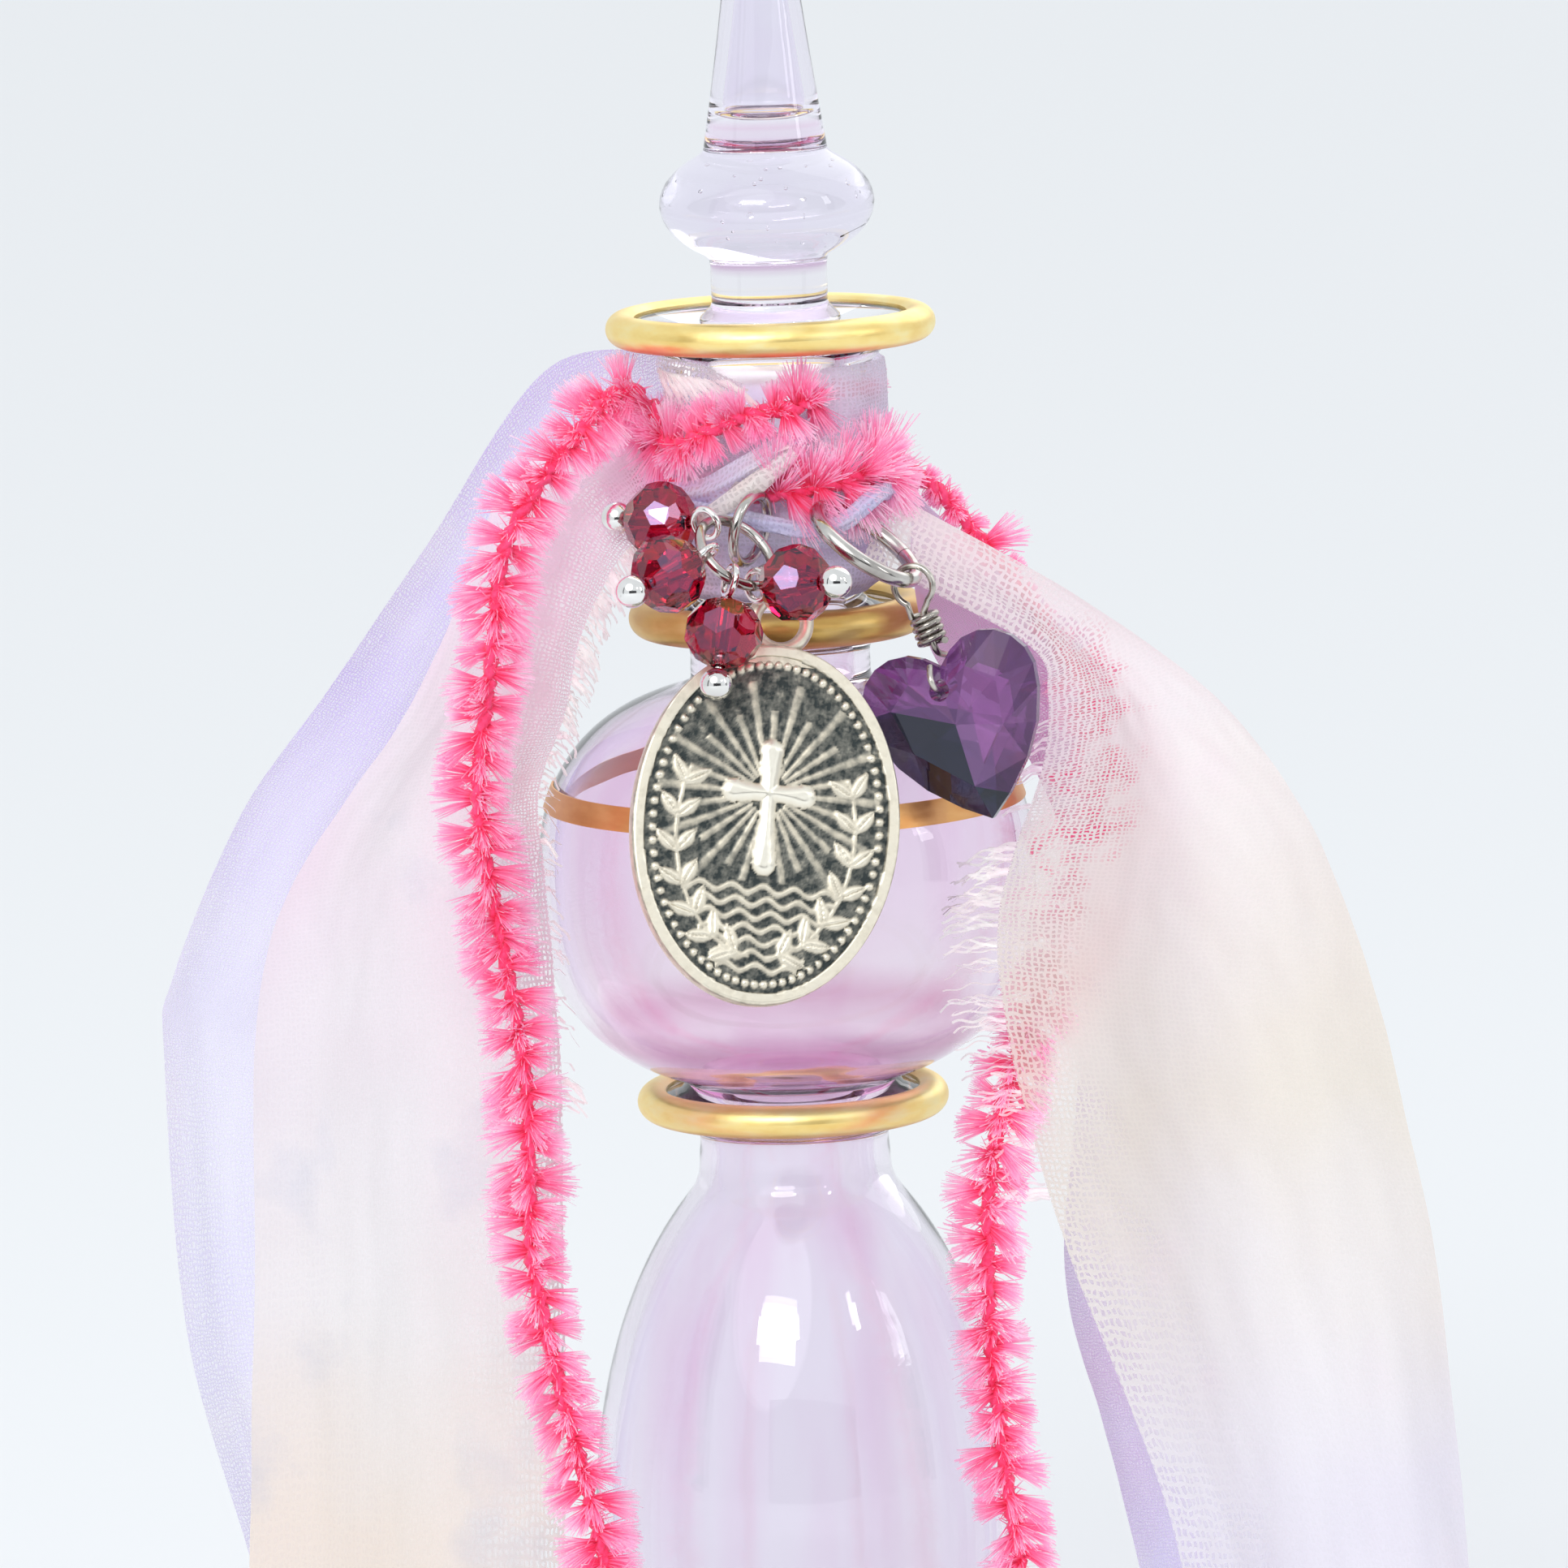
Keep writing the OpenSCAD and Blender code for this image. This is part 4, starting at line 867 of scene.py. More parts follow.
# gilding stays as its nodes, with a hand painted finish
gold = (0.92, 0.64, 0.2), (1, 0.8, 0.33), (1, 0.92, 0.54)
# painted shade: the neck ring's gold is darker for the shade of the beads over it
shadedGold = (0.59, 0.36, 0.1), (0.72, 0.48, 0.15), (0.86, 0.65, 0.27)
copper = (0.66, 0.3, 0.1), (0.76, 0.4, 0.15), (0.86, 0.52, 0.22)
gilding = {  # tones from low to high, height of the under edge, which gets painted shade
    "foot_gilding": (gold, glass["footLift"]),
    "collar_gilding": (gold, collarZ - glass["collarTube"]),
    "neck_ring_gilding": (shadedGold, ringZ - glass["ringTube"]),
    "mouth_gilding": (gold, mouthZ - glass["mouthTube"]),
    "bulb_band_gilding": (copper, 0),
}


def gildingMaterial(name, low, middle, high, edgeZ):
    material, tree, bsdf = newMaterial(name)
    coords = objectCoords(tree)
    brush, worn = noiseNode(tree, coords, 260, 4, (1, 1, 3)), noiseNode(tree, coords, 60, 2)
    tone = ramp(tree, brush, [(0.25, low), (0.5, middle), (0.75, high)])
    tone = mixColour(tree, mapRange(tree, worn, 0.4, 0.75, 0, 0.35), tone, low)
    underShade = mapRange(tree, heightOf(tree, coords), (edgeZ + 0.5) * mm, edgeZ * mm, 0, 0.8)  # painted shade: the lowest half millimetre of each band turns copper-brown
    give(tree, bsdf, {"Base Color": mixColour(tree, underShade, tone, (0.66, 0.25, 0.08)), "Metallic": 0.92,
                      "Roughness": mapRange(tree, brush, 0.2, 0.8, 0.3, 0.48)})
    bump(tree, bsdf, noiseNode(tree, coords, 700, 3), 0.12, 0.3)
    return material


def finishNode(name, material):
    nodes[name].data.materials.clear()
    nodes[name].data.materials.append(material)


def finishGilding():
    for name, (tones, edgeZ) in gilding.items():
        finishNode(name, gildingMaterial(name + "_paint", *tones, edgeZ))


finishGilding()
print("gilding finished")


# hanging cloth: chiffon and organza tails
chiffonStrip = dict(
    slot="chiffon", root="chiffonNeckWrap", depth=0.8, folds=1.5, fine=0.4, columns=56, rows=120)
organzaStrip = dict(
    slot="organza", root="organzaNeckWrap", depth=0.7, folds=1, fine=0.25, columns=24, rows=110)
tails = {  # both edges from the neck down: x, y and the height above the neck ring
    "chiffonLeft": dict(
        chiffonStrip, node="chiffon_left_tail", cloth="leftChiffon",
        outer=[(-10.5, -1, 13.5), (-20, 1, 12), (-24.5, 2, 3), (-29.5, 4, -7), (-36, 6, -16),
               (-40.5, 7, -24.5), (-42.5, 8, -35), (-43, 8, -55), (-44, 8, -76), (-44.5, 8, -95)],
        inner=[(-8.5, -5.5, 7.5), (-11.5, -10.5, 6.5), (-14.5, -12, 1), (-16.5, -12, -6), (-18.5, -11, -11.5),
               (-18.5, -10.5, -19), (-18, -11, -32), (-18.5, -11, -51), (-19, -11, -73), (-19.5, -11, -95)]),
    "chiffonRight": dict(
        chiffonStrip, node="chiffon_right_tail", cloth="rightChiffon",
        outer=[(8.6, -4.6, 10), (21.5, -3, 2), (31, -2, -5), (36.5, 0, -11), (41.5, 0, -19.5),
               (45.5, 0, -30.5), (48, 0, -41.5), (50.5, 0, -54.5), (52.5, 0, -77), (53.5, 0, -93)],
        inner=[(6.6, -8, 5.2), (19, -8, -1.6), (20.8, -8.5, -6), (20, -10, -11.5), (17.6, -12.5, -17.5),
               (16, -15.5, -24.5), (17.5, -15.5, -36), (21, -14, -49.5), (28.6, -11, -72), (31, -10, -93)]),
    "organzaLeft": dict(
        organzaStrip, node="organza_left_tail", cloth="leftOrganza",
        outer=[(-7.5, 6, 20), (-17.5, 6, 19), (-27.5, 8, 5), (-36, 10, -7), (-43, 12, -16.5),
               (-49, 13, -29.5), (-50, 13, -36), (-49, 13, -59), (-44.5, 13, -78), (-41, 13, -96)],
        inner=[(-7.5, 6.5, 13.5), (-15.5, 7, 9), (-22, 10, -2), (-27, 13, -12), (-33, 15, -20.5),
               (-37.5, 17, -31.5), (-38.5, 17, -38.5), (-37.5, 17, -59.5), (-33, 17, -78.5),
               (-29.5, 17, -96)]),
    "organzaRight": dict(
        organzaStrip, node="organza_right_tail", cloth="rightOrganza",
        outer=[(10.6, 3, 9), (15, 4, 4.5), (21, 4.5, -0.5), (27, 5, -6), (31, 6.5, -16),
               (33.5, 8, -34), (32.5, 9, -54.5), (34.5, 9, -67), (38, 9, -79), (41.5, 9, -96)],
        inner=[(10.6, -2, 11), (10.4, -8.4, 2.4), (12.4, -8.4, -4), (18.5, -3, -11), (23, 0, -24),
               (22.5, 0, -35.5), (21, -2, -52.5), (23.8, -2, -64.5), (26.6, -1, -77), (30, 0, -96)]),
}
clothGap, tailLift = 1, 8


def hung(point):  # cloth keeps off the glass and the table
    x, y, z = point[0], point[1], max(tailLift, ringZ + point[2])
    r, least = math.hypot(x, y), glassR(z) + clothGap
    if r < least:
        x, y = x * least / r, y * least / r
    return vec(x, y, z)


def setUv(piece, spot):  # UV in millimetres of flat cloth
    layer = piece.data.uv_layers[0] if piece.data.uv_layers else piece.data.uv_layers.new(name="cloth")
    for loop in piece.data.loops:
        layer.data[loop.index].uv = spot[loop.vertex_index]


def clothPoint(tail, left, right, u, t):
    last, step = len(left) - 1, 0.004

    def strip(t):
        return curveAt(left, t * last).lerp(curveAt(right, t * last), u)

    across = curveAt(right, t * last) - curveAt(left, t * last)
    normal = across.cross(strip(min(1, t + step)) - strip(max(0, t - step))).normalized()
    sway = math.radians(40) * math.sin(math.radians(300) * t)
    wave = tail["depth"] * min(1, 0.25 + 2.2 * t) * math.sin(2 * math.pi * tail["folds"] * u + sway)
    crumple = noise.noise(Vector((u * 5, t * 9, tail["folds"] * 7)))
    crumple += 0.4 * noise.noise(Vector((u * 14, t * 24, 3)))
    wave += tail["fine"] * crumple * min(1, 0.2 + 3 * t)
    return strip(t) + normal * wave * mm


def makeTail(key, tail, material):
    left, right = [hung(p) for p in tail["outer"]], [hung(p) for p in tail["inner"]]
    last = len(left) - 1
    piece = grid(key + "Tail", tail["columns"], tail["rows"])
    width = max((b - a).length for a, b in zip(left, right)) / mm
    length = (pathLength(left) + pathLength(right)) / 2 / mm
    spots = []
    for vertex in piece.data.vertices:
        u, t = (vertex.co.x + 1) / 2, (1 - vertex.co.y) / 2
        vertex.co = clothPoint(tail, left, right, u, t)
        wide = (curveAt(right, t * last) - curveAt(left, t * last)).length / mm
        spots.append(((1 - u) * wide, t * length))
    setUv(piece, spots)
    smooth(piece, 80)
    settle(piece, material, "bottle", tail["slot"], tail["node"])
    area = sum(p.area for p in piece.data.polygons)
    return piece, left, right, (width, length), area


toneTop = 125  # mm, the top of the ramp of tones
paleDye, pinkDye, slateDye = (0.9, 0.89, 0.91), (0.93, 0.8, 0.86), (0.54, 0.58, 0.7)
mauveDye, neckDye, creamDye = (0.74, 0.46, 0.72), (0.86, 0.84, 0.92), (0.92, 0.86, 0.82)
neckTones = [(100, (0.72, 0.7, 0.92)), (112, (0.76, 0.75, 0.95)), (118, (0.8, 0.79, 0.96)),
             (124, (0.84, 0.83, 0.97))]
cloths = {  # thread pitch in mm, colour by height, two smudges, openness in the cloth and at its loose edge
    "leftChiffon": dict(
        pitch=0.5, smudge=(paleDye, slateDye), dense=0.06, loose=0.85, blotch=24, through=0.35,
        tones=[(8, (0.88, 0.77, 0.67)), (32, (0.86, 0.77, 0.69)), (48, (0.82, 0.78, 0.77)),
               (66, (0.8, 0.73, 0.77)), (84, (0.86, 0.69, 0.79)), (100, (0.93, 0.74, 0.85)),
               (118, (0.93, 0.82, 0.93))]),
    "rightChiffon": dict(
        pitch=0.5, smudge=(paleDye, pinkDye), dense=0.05, loose=0.62, blotch=24, through=0.4,
        tones=[(8, (0.82, 0.8, 0.88)), (34, (0.82, 0.79, 0.86)), (48, (0.86, 0.81, 0.77)),
               (66, (0.86, 0.81, 0.72)), (84, (0.89, 0.83, 0.77)), (98, (0.96, 0.91, 0.88)),
               (110, (0.98, 0.95, 0.92))],
        dyed=dict(low=(0.079, 0.085), high=(0.104, 0.099), colour=(0.86, 0.1, 0.24))),
    "leftOrganza": dict(
        pitch=0.26, smudge=(paleDye, paleDye), dense=0.62, blotch=30, through=0.4,
        tones=[(8, (0.78, 0.76, 0.95)), (60, (0.79, 0.77, 0.95)), (88, (0.76, 0.7, 0.94)),
               (104, (0.64, 0.55, 0.9)), (122, (0.6, 0.52, 0.9))]),
    "rightOrganza": dict(
        pitch=0.26, smudge=(mauveDye, paleDye), dense=0.34, blotch=30, through=0.4,
        # the deep mauve from 90 to 106 mm is the tail lying doubled, with painted shade behind the heart
        tones=[(8, (0.72, 0.7, 0.95)), (70, (0.76, 0.7, 0.93)), (90, (0.72, 0.38, 0.66)),
               (106, (0.62, 0.27, 0.56)), (114, (0.68, 0.6, 0.9))]),
    "neckChiffon": dict(
        pitch=0.5, smudge=(neckDye, creamDye), dense=0.2, blotch=70, through=0.25, tones=neckTones),
    "neckOrganza": dict(
        pitch=0.42, smudge=(neckDye, neckDye), dense=0.3, blotch=60, through=0.4, tones=neckTones),
    "neckGauze": dict(
        pitch=0.42, smudge=(neckDye, creamDye), dense=0.26, blotch=110, through=0.4, bare=-0.2,
        tones=neckTones),
    "whiteNet": dict(
        pitch=0.42, smudge=(neckDye, neckDye), dense=0.85, blotch=90, through=0.4, bare=0.1,
        tones=[(100, (0.9, 0.88, 0.94)), (124, (0.95, 0.93, 0.97))]),
    "creamGauze": dict(
        pitch=0.46, smudge=(neckDye, creamDye), dense=0.3, blotch=90, through=0.3,
        tones=[(100, (0.92, 0.84, 0.78)), (114, (0.95, 0.9, 0.86)), (117, (0.95, 0.86, 0.74)),
               (124, (0.92, 0.88, 0.86))]),
}


def clothMaterial(name):
    cloth = cloths[name]
    bare, dyed = cloth.get("bare", -0.15), cloth.get("dyed")
    material, tree, bsdf = newMaterial(name)
    spot = put(tree, "ShaderNodeUVMap").outputs[0]
    coords = objectCoords(tree)
    height = heightOf(tree, coords)
    wobble = put(tree, "ShaderNodeTexNoise")
    give(tree, wobble, {"Vector": spot, "Scale": 1.1})
    shifted = put(tree, "ShaderNodeVectorMath", operation="MULTIPLY_ADD")
    give(tree, shifted, {0: wobble.outputs["Color"], 1: (0.8, 0.8, 0), 2: spot})
    split = put(tree, "ShaderNodeSeparateXYZ")
    give(tree, split, {0: shifted.outputs[0]})
    turn = 2 * math.pi / cloth["pitch"]
    across, along = (mathNode(tree, "SINE", mathNode(tree, "MULTIPLY", split.outputs[axis], turn))
                     for axis in "XY")
    thread = mathNode(tree, "MAXIMUM", across, along)
    slack = mapRange(tree, noiseNode(tree, spot, 0.16, 2), 0.3, 0.7, -3, 3)
    fromEdge = mathNode(tree, "ADD", split.outputs["X"], slack)
    loose = cloth.get("loose", cloth["dense"])
    hole = mapRange(tree, fromEdge, 8, 0.5, cloth["dense"], loose)  # the weave opens towards the raw edge
    cover = mapRange(tree, thread, bare, bare + 0.5)
    alpha = mathNode(tree, "MAXIMUM", cover, mathNode(tree, "SUBTRACT", 1, hole))
    tones = [(z / toneTop, tone) for z, tone in cloth["tones"]]
    colour = ramp(tree, mapRange(tree, height, 0, toneTop * mm), tones)
    wash = mapRange(tree, noiseNode(tree, coords, cloth["blotch"], 4), 0.42, 0.66, 0, 0.7)
    colour = mixColour(tree, wash, colour, cloth["smudge"][0])
    speck = mapRange(tree, noiseNode(tree, coords, cloth["blotch"] * 3.4, 5), 0.58, 0.76, 0, 0.45)
    colour = mixColour(tree, speck, colour, cloth["smudge"][1])
    if dyed:  # the yarn's dye shows in the gaps of the weave
        run = mathNode(tree, "SUBTRACT", 1, cover)
        patch = noiseNode(tree, spot, 0.4, 3)
        for value, low, high in ((fromEdge, 1, 3), (fromEdge, 8.5, 6), (height, *dyed["low"]),
                                 (height, *dyed["high"]), (patch, 0.36, 0.6)):
            run = mathNode(tree, "MULTIPLY", run, mapRange(tree, value, low, high))
        colour = mixColour(tree, run, colour, dyed["colour"])
        alpha = mathNode(tree, "MAXIMUM", alpha, run)
    give(tree, bsdf, {"Base Color": colour, "Roughness": 0.75, "Sheen Weight": 0.15,
                      "Specular IOR Level": 0.25})
    bump(tree, bsdf, mathNode(tree, "MULTIPLY", thread, hole), 0.3, 0.1)
    clear = put(tree, "ShaderNodeBsdfTransparent").outputs[0]
    toSurface(tree, mixShader(tree, alpha, clear, thinGlow(tree, bsdf, colour, cloth["through"])))
    return material


fray = dict(wide=0.12, tip=0.1, steps=16, least=0.35, wave=(0.08, 0.2), crimp=3)
frays = {  # from and to along the inner edge, threads, the longest in mm, droop
    "chiffonLeft": [(0.1, 0.36, 130, 4, 0.6), (0.36, 0.7, 70, 2.8, 0.8)],
    "chiffonRight": [(0.43, 0.6, 70, 5.2, 0.3), (0.6, 0.74, 70, 4.4, 0.35), (0.24, 0.4, 16, 2.4, 0.4)],
}


def frayEdge(name, edge, away, seed, low, high, count, longest, droop, material):
    chance = random.Random(seed)
    up = Vector((0, 0, 1))
    strands = []
    for _ in range(count):
        t = chance.uniform(low, high)
        root, out = edge(t), away(t)
        long = longest * chance.uniform(fray["least"], 1) * mm
        sag = -up * long * chance.uniform(droop * 0.2, droop)
        side = out.cross(up).normalized()
        wave, phase = chance.uniform(*fray["wave"]) * mm, chance.uniform(0, 6)
        crimps = long / mm * fray["crimp"]
        points = []
        for s in spread(0, 1, fray["steps"]):
            curl = side * math.sin(phase + crimps * s) + up * math.cos(phase + crimps * 0.83 * s)
            points.append(root + out * long * s + sag * s * s + curl * wave * min(1, s * 3))
        strands.append((points, fray["wide"] * mm, fray["tip"] * mm))
    piece = flatFibres(name, strands)
    settle(piece, material, "bottle", "chiffon")
    return piece


def threadMaterial():
    material, tree, bsdf = newMaterial("looseThread")
    patch = noiseNode(tree, objectCoords(tree), 300)
    colour = ramp(tree, patch, [(0.35, (0.97, 0.9, 0.93)), (0.6, (0.99, 0.98, 0.97))])
    give(tree, bsdf, {"Base Color": colour, "Roughness": 0.75})
    lampLight(tree, thinGlow(tree, bsdf, colour, 0.5), (0.8, 0.78, 0.78))
    return material


def makeTails(threads):
    for key, tail in tails.items():
        piece, left, right, (width, length), area = makeTail(key, tail, clothMaterial(tail["cloth"]))

        def edge(t):
            return clothPoint(tail, left, right, 1, t)

        def away(t):
            return (edge(t) - clothPoint(tail, left, right, 0.96, t)).normalized()

        for number, row in enumerate(frays.get(key, [])):
            frayEdge(key + "Fray" + str(number), edge, away, 31 + number, *row, threads)
        min(area, width * length * mm * mm)


threads = threadMaterial()
makeTails(threads)
print("tails made")


# cloth wound round the neck, and the rolled tie that carries the rings
neckCloth = dict(
    wrapR=8.6, wrapLow=105.25, wrapH=10.6, wrapFolds=3, wrapFlat=(54, 14), veilLow=115.6, veilH=7.8,
    veilDip=5, veilFlat=(48, 10), veilArea=400, skirtR=8.75, gap=0.15)
tie = dict(
    half=0.8, core=0.36, turns=2.7, twist=3.2, rolls=16, radius=11.4, height=112.3, wide=10,
    route=[(-58, -1.7, 1.1), (-42, -0.6, 0.9), (-27, 0, 0.5), (-13, 0, 0), (0, 0, -0.6), (13, 0.3, -1),
           (25, 0.7, -0.4), (37, 0.4, 0.9), (49, -0.5, 1.4), (57, -1, 1)])  # degrees from the front, out, up


def woundSheet(name, rows, columns, place, width, length):
    piece = grid(name, columns, rows)
    spots = []
    for vertex in piece.data.vertices:
        u, t = (vertex.co.x + 1) / 2, (vertex.co.y + 1) / 2
        vertex.co = place(u, t)
        spots.append((u * width, t * length))
    setUv(piece, spots)
    mendMesh(1e-6)
    smooth(piece, 80)
    return piece


def rolledUp(path, turns, twist, core, half, swell):  # a ribbon rolled up along its length
    frames = pathFrames(path)

    def place(u, t):
        s = t * (len(path) - 1)
        i = min(len(path) - 2, int(s))
        ahead, side, other = frames[i]
        angle = 2 * math.pi * turns * u + twist * t
        r = (core + (half - core) * u) * swell(angle, t) * mm
        return path[i].lerp(path[i + 1], s - i) + (side * math.cos(angle) + other * math.sin(angle)) * r

    return place


def ringNoise(angle, scale, rise):
    return noise.noise(Vector((math.cos(angle) * scale, math.sin(angle) * scale, rise)))


def makeNeckCloth(threads):
    gauze = clothMaterial("neckGauze")

    def wrapPlace(u, t):
        angle = 2 * math.pi * u
        rolls = abs(math.sin((neckCloth["wrapFolds"] * 2 * math.pi * t + angle) / 2))
        r = neckCloth["wrapR"] - 0.85 + 0.75 * rolls + 0.16 * ringNoise(angle, 2, t * 4)
        z = neckCloth["wrapLow"] + neckCloth["wrapH"] * t
        edge = min(1, min(t, 1 - t) / 0.1)  # the edges tuck in to the glass
        inner = neckCurve(z) + neckCloth["gap"] + 0.4
        r = inner + (r - inner) * math.sin(edge * math.pi / 2)
        return vec(r * math.cos(angle), r * math.sin(angle), z)

    wrap = woundSheet("chiffonNeckWrap", 60, 160, wrapPlace, *neckCloth["wrapFlat"])
    settle(wrap, clothMaterial("neckChiffon"), "bottle", "chiffon", "chiffon_neck_wrap")

    def veilPlace(u, t):
        angle = 2 * math.pi * u
        turn = (math.degrees(angle) + 270) % 360 - 180  # from the front
        parted = clamp((turn + 78) / 20) * clamp((26 - turn) / 16)  # the glass shows at the front
        z = neckCloth["veilLow"] + (neckCloth["veilH"] - neckCloth["veilDip"] * parted) * t
        ripple = 0.22 * math.sin(9 * angle + 4 * t) + 0.15 * ringNoise(angle, 3, t * 3)
        r = neckCurve(z) + neckCloth["gap"] + 0.35 + ripple * 0.8
        skirt = clamp((turn - 10) / 18) * clamp((118 - turn) / 30)  # it stands off over the yarn
        r += skirt * max(0, neckCloth["skirtR"] + ripple - r)
        return vec(r * math.cos(angle), r * math.sin(angle), z)

    veil = woundSheet("organzaNeckWrap", 36, 140, veilPlace, *neckCloth["veilFlat"])
    settle(veil, clothMaterial("neckOrganza"), "bottle", "organza", "organza_neck_wrap")

    makeGauze(gauze, threads)

    def swell(angle, t):
        return 0.88 + 0.12 * math.cos(5 * angle + tie["rolls"] * t)

    route = [roundNeck(turn, tie["radius"] + out, tie["height"] + up) for turn, out, up in tie["route"]]
    path = smoothPath(route, 10)
    long = pathLength(path) / mm
    place = rolledUp(path, tie["turns"], tie["twist"], tie["core"], tie["half"], swell)
    knot = woundSheet("chiffonTie", 120, 90, place, tie["wide"], long)
    settle(knot, gauze, "bottle", "chiffon", "chiffon_tie")


gauzeBand = dict(  # degrees from the front, radius, height of both edges
    low=[(-80, 9.4, 111.5), (-62, 10.5, 110.8), (-45, 10.9, 111.2), (-30, 11.3, 112.2), (-16, 11.6, 113.8),
         (-4, 11.4, 115.6), (8, 10.8, 117.2), (18, 9.6, 118)],
    high=[(-80, 9.4, 115), (-62, 10.6, 114.8), (-45, 11, 114.9), (-30, 11.1, 115.4), (-16, 11, 116.8),
          (-4, 10.7, 118), (8, 10, 119), (18, 9.1, 119.8)],
    netLow=[(-78, 8.8, 117.6), (-58, 8.75, 117.2), (-38, 8.7, 117.6), (-16, 8.65, 118.8)],
    netHigh=[(-78, 8.9, 124), (-58, 8.8, 124.1), (-38, 8.5, 123.7), (-16, 8.2, 122.4)],
    least=10, leastArea=0.31, rollHalf=1.15, rollCore=0.34, rollTurns=2.4, rollTwist=3, rollWide=10,
    rollFrom=2, rollTo=7, frays=70, frayLong=3.6, frayDroop=0.5)


def draped(name, low, high, rows, columns, pleat, material):  # a band of gauze between two edges
    low, high = [roundNeck(*p) for p in low], [roundNeck(*p) for p in high]
    last = len(low) - 1

    def place(u, t):
        spot = curveAt(low, u * last).lerp(curveAt(high, u * last), t)
        out = Vector((spot.x, spot.y, 0)).normalized()
        fold = math.sin(9 * t + 5 * u) + noise.noise(Vector((u * 9, t * 4, 2)))
        return spot + out * pleat * fold * mm

    long = (pathLength(smoothPath(low, 6)) + pathLength(smoothPath(high, 6))) / 2 / mm
    tall = sum((b - a).length for a, b in zip(low, high)) / len(low) / mm
    band = woundSheet(name, rows, columns, place, long, tall)
    settle(band, material, "bottle", "chiffon")


def makeGauze(gauze, threads):
    draped("neckGauzeBand", gauzeBand["low"], gauzeBand["high"], 40, 120, 0.34, gauze)
    draped("neckNet", gauzeBand["netLow"], gauzeBand["netHigh"], 20, 50, 0.2, clothMaterial("whiteNet"))

    def swell(angle, t):  # it tapers to one end
        taper = min(1, 0.4 + 3 * t) * (0.78 + 0.22 * math.sin(math.pi * t) ** 0.5)
        return taper * (0.92 + 0.08 * math.cos(4 * angle + 12 * t))

    edge = gauzeBand["low"][gauzeBand["rollFrom"]:gauzeBand["rollTo"]]
    path = smoothPath([roundNeck(*p) for p in edge], 12)
    long = pathLength(path) / mm
    place = rolledUp(path, gauzeBand["rollTurns"], gauzeBand["rollTwist"], gauzeBand["rollCore"],
                     gauzeBand["rollHalf"], swell)
    roll = woundSheet("neckGauzeRoll", 70, 90, place, gauzeBand["rollWide"], long)
    settle(roll, clothMaterial("creamGauze"), "bottle", "chiffon")

    def topEdge(t):
        return roundNeck(-74 + 52 * t, 9.1 + 0.5 * math.sin(3 * t), 123.2 - 0.5 * t)

    def topAway(t):
        return (roundNeck(-50 + 52 * t, 10.2, 121.4) - topEdge(t)).normalized()

    frayEdge("neckFray", topEdge, topAway, 47, 0, 1, gauzeBand["frays"], gauzeBand["frayLong"],
             gauzeBand["frayDroop"], threads)


makeNeckCloth(threads)
print("neck cloth made")


# wire rings, each cut where it opens
def metal(name, low, high, rough, scale, tarnish=None):
    material, tree, bsdf = newMaterial(name)
    coords = objectCoords(tree)
    mottle = noiseNode(tree, coords, scale, 4)
    tone = ramp(tree, mottle, [(0.35, low), (0.65, high)])
    if tarnish:
        film = mapRange(tree, noiseNode(tree, coords, scale * 0.4, 2), 0.45, 0.7, 0, 0.75)
        tone = mixColour(tree, film, tone, tarnish)
    give(tree, bsdf, {"Base Color": tone, "Metallic": 1,
                      "Roughness": mapRange(tree, mottle, 0.3, 0.7, *rough)})
    bump(tree, bsdf, noiseNode(tree, coords, scale * 3, 2), 0.05, 0.1)
    return material


rings = {  # centre, radius, wire, lean and turn of the ring's axis, where it is cut
    "hanger_ring": dict(centre=(-2, -12.05, 111.65), radius=2.65, wire=0.84, lean=78, turn=152, cut=200),
    "cluster_ring": dict(centre=(-3.1, -15.75, 110.3), radius=3.2, wire=0.84, lean=47, turn=-44, cut=100),
    "charm_ring": dict(centre=(6.8, -12.6, 110.3), radius=4.45, wire=1.24, lean=37, turn=-19, cut=60),
    "medal_ring": dict(at=32, radius=1.75, wire=0.6, lean=70, turn=30, cut=150),  # at: on the cluster ring
}
linkGap = 0.14  # mm of play in a link
cutWide = 0.1  # mm between the ends of a ring


def ringFrame(ring):
    return Matrix.Translation(vec(*ring["centre"])) @ turned(ring["turn"], "Z") @ turned(ring["lean"], "Y")


def onRing(ring, degrees):
    angle = math.radians(degrees)
    return ringFrame(ring) @ vec(ring["radius"] * math.cos(angle), ring["radius"] * math.sin(angle), 0)


def hangMedalRing():  # it hangs inside the cluster ring's wire, straight down in its own plane
    cluster, link = rings["cluster_ring"], rings["medal_ring"]
    lean, turn = math.radians(link["lean"]), math.radians(link["turn"])
    axis = Vector((math.sin(lean) * math.cos(turn), math.sin(lean) * math.sin(turn), math.cos(lean)))
    down = (Vector((0, 0, -1)) + axis * axis.z).normalized()
    drop = link["radius"] - link["wire"] / 2 - cluster["wire"] / 2 - linkGap
    centre = onRing(cluster, link["at"]) + down * drop * mm
    link["centre"] = tuple(centre / mm)
    return centre + down * link["radius"] * mm


medalPivot = hangMedalRing()


def makeRing(node, ring, material):
    gap = math.degrees(cutWide / ring["radius"])
    turns = spread(ring["cut"] + gap / 2, ring["cut"] + 360 - gap / 2, 96)
    path = [onRing(ring, turn) for turn in turns]
    piece = wireAlong(node.replace("_r", "R"), path, ring["wire"] / 2 * mm, 6)
    smooth(piece, 40)
    settle(piece, material, node, "silver_wire", node)


def makeRings():
    silver = metal("silverWire", (0.5, 0.48, 0.45), (0.74, 0.72, 0.68), (0.1, 0.24), 420, (0.24, 0.2, 0.18))
    for node, ring in rings.items():
        makeRing(node, ring, silver)
    pinSilver = metal("pinSilver", (0.8, 0.79, 0.76), (0.9, 0.89, 0.87), (0.06, 0.16), 500)
    for k in range(1, 5):
        finishNode("head_pin_" + str(k), pinSilver)


makeRings()
print("rings made")


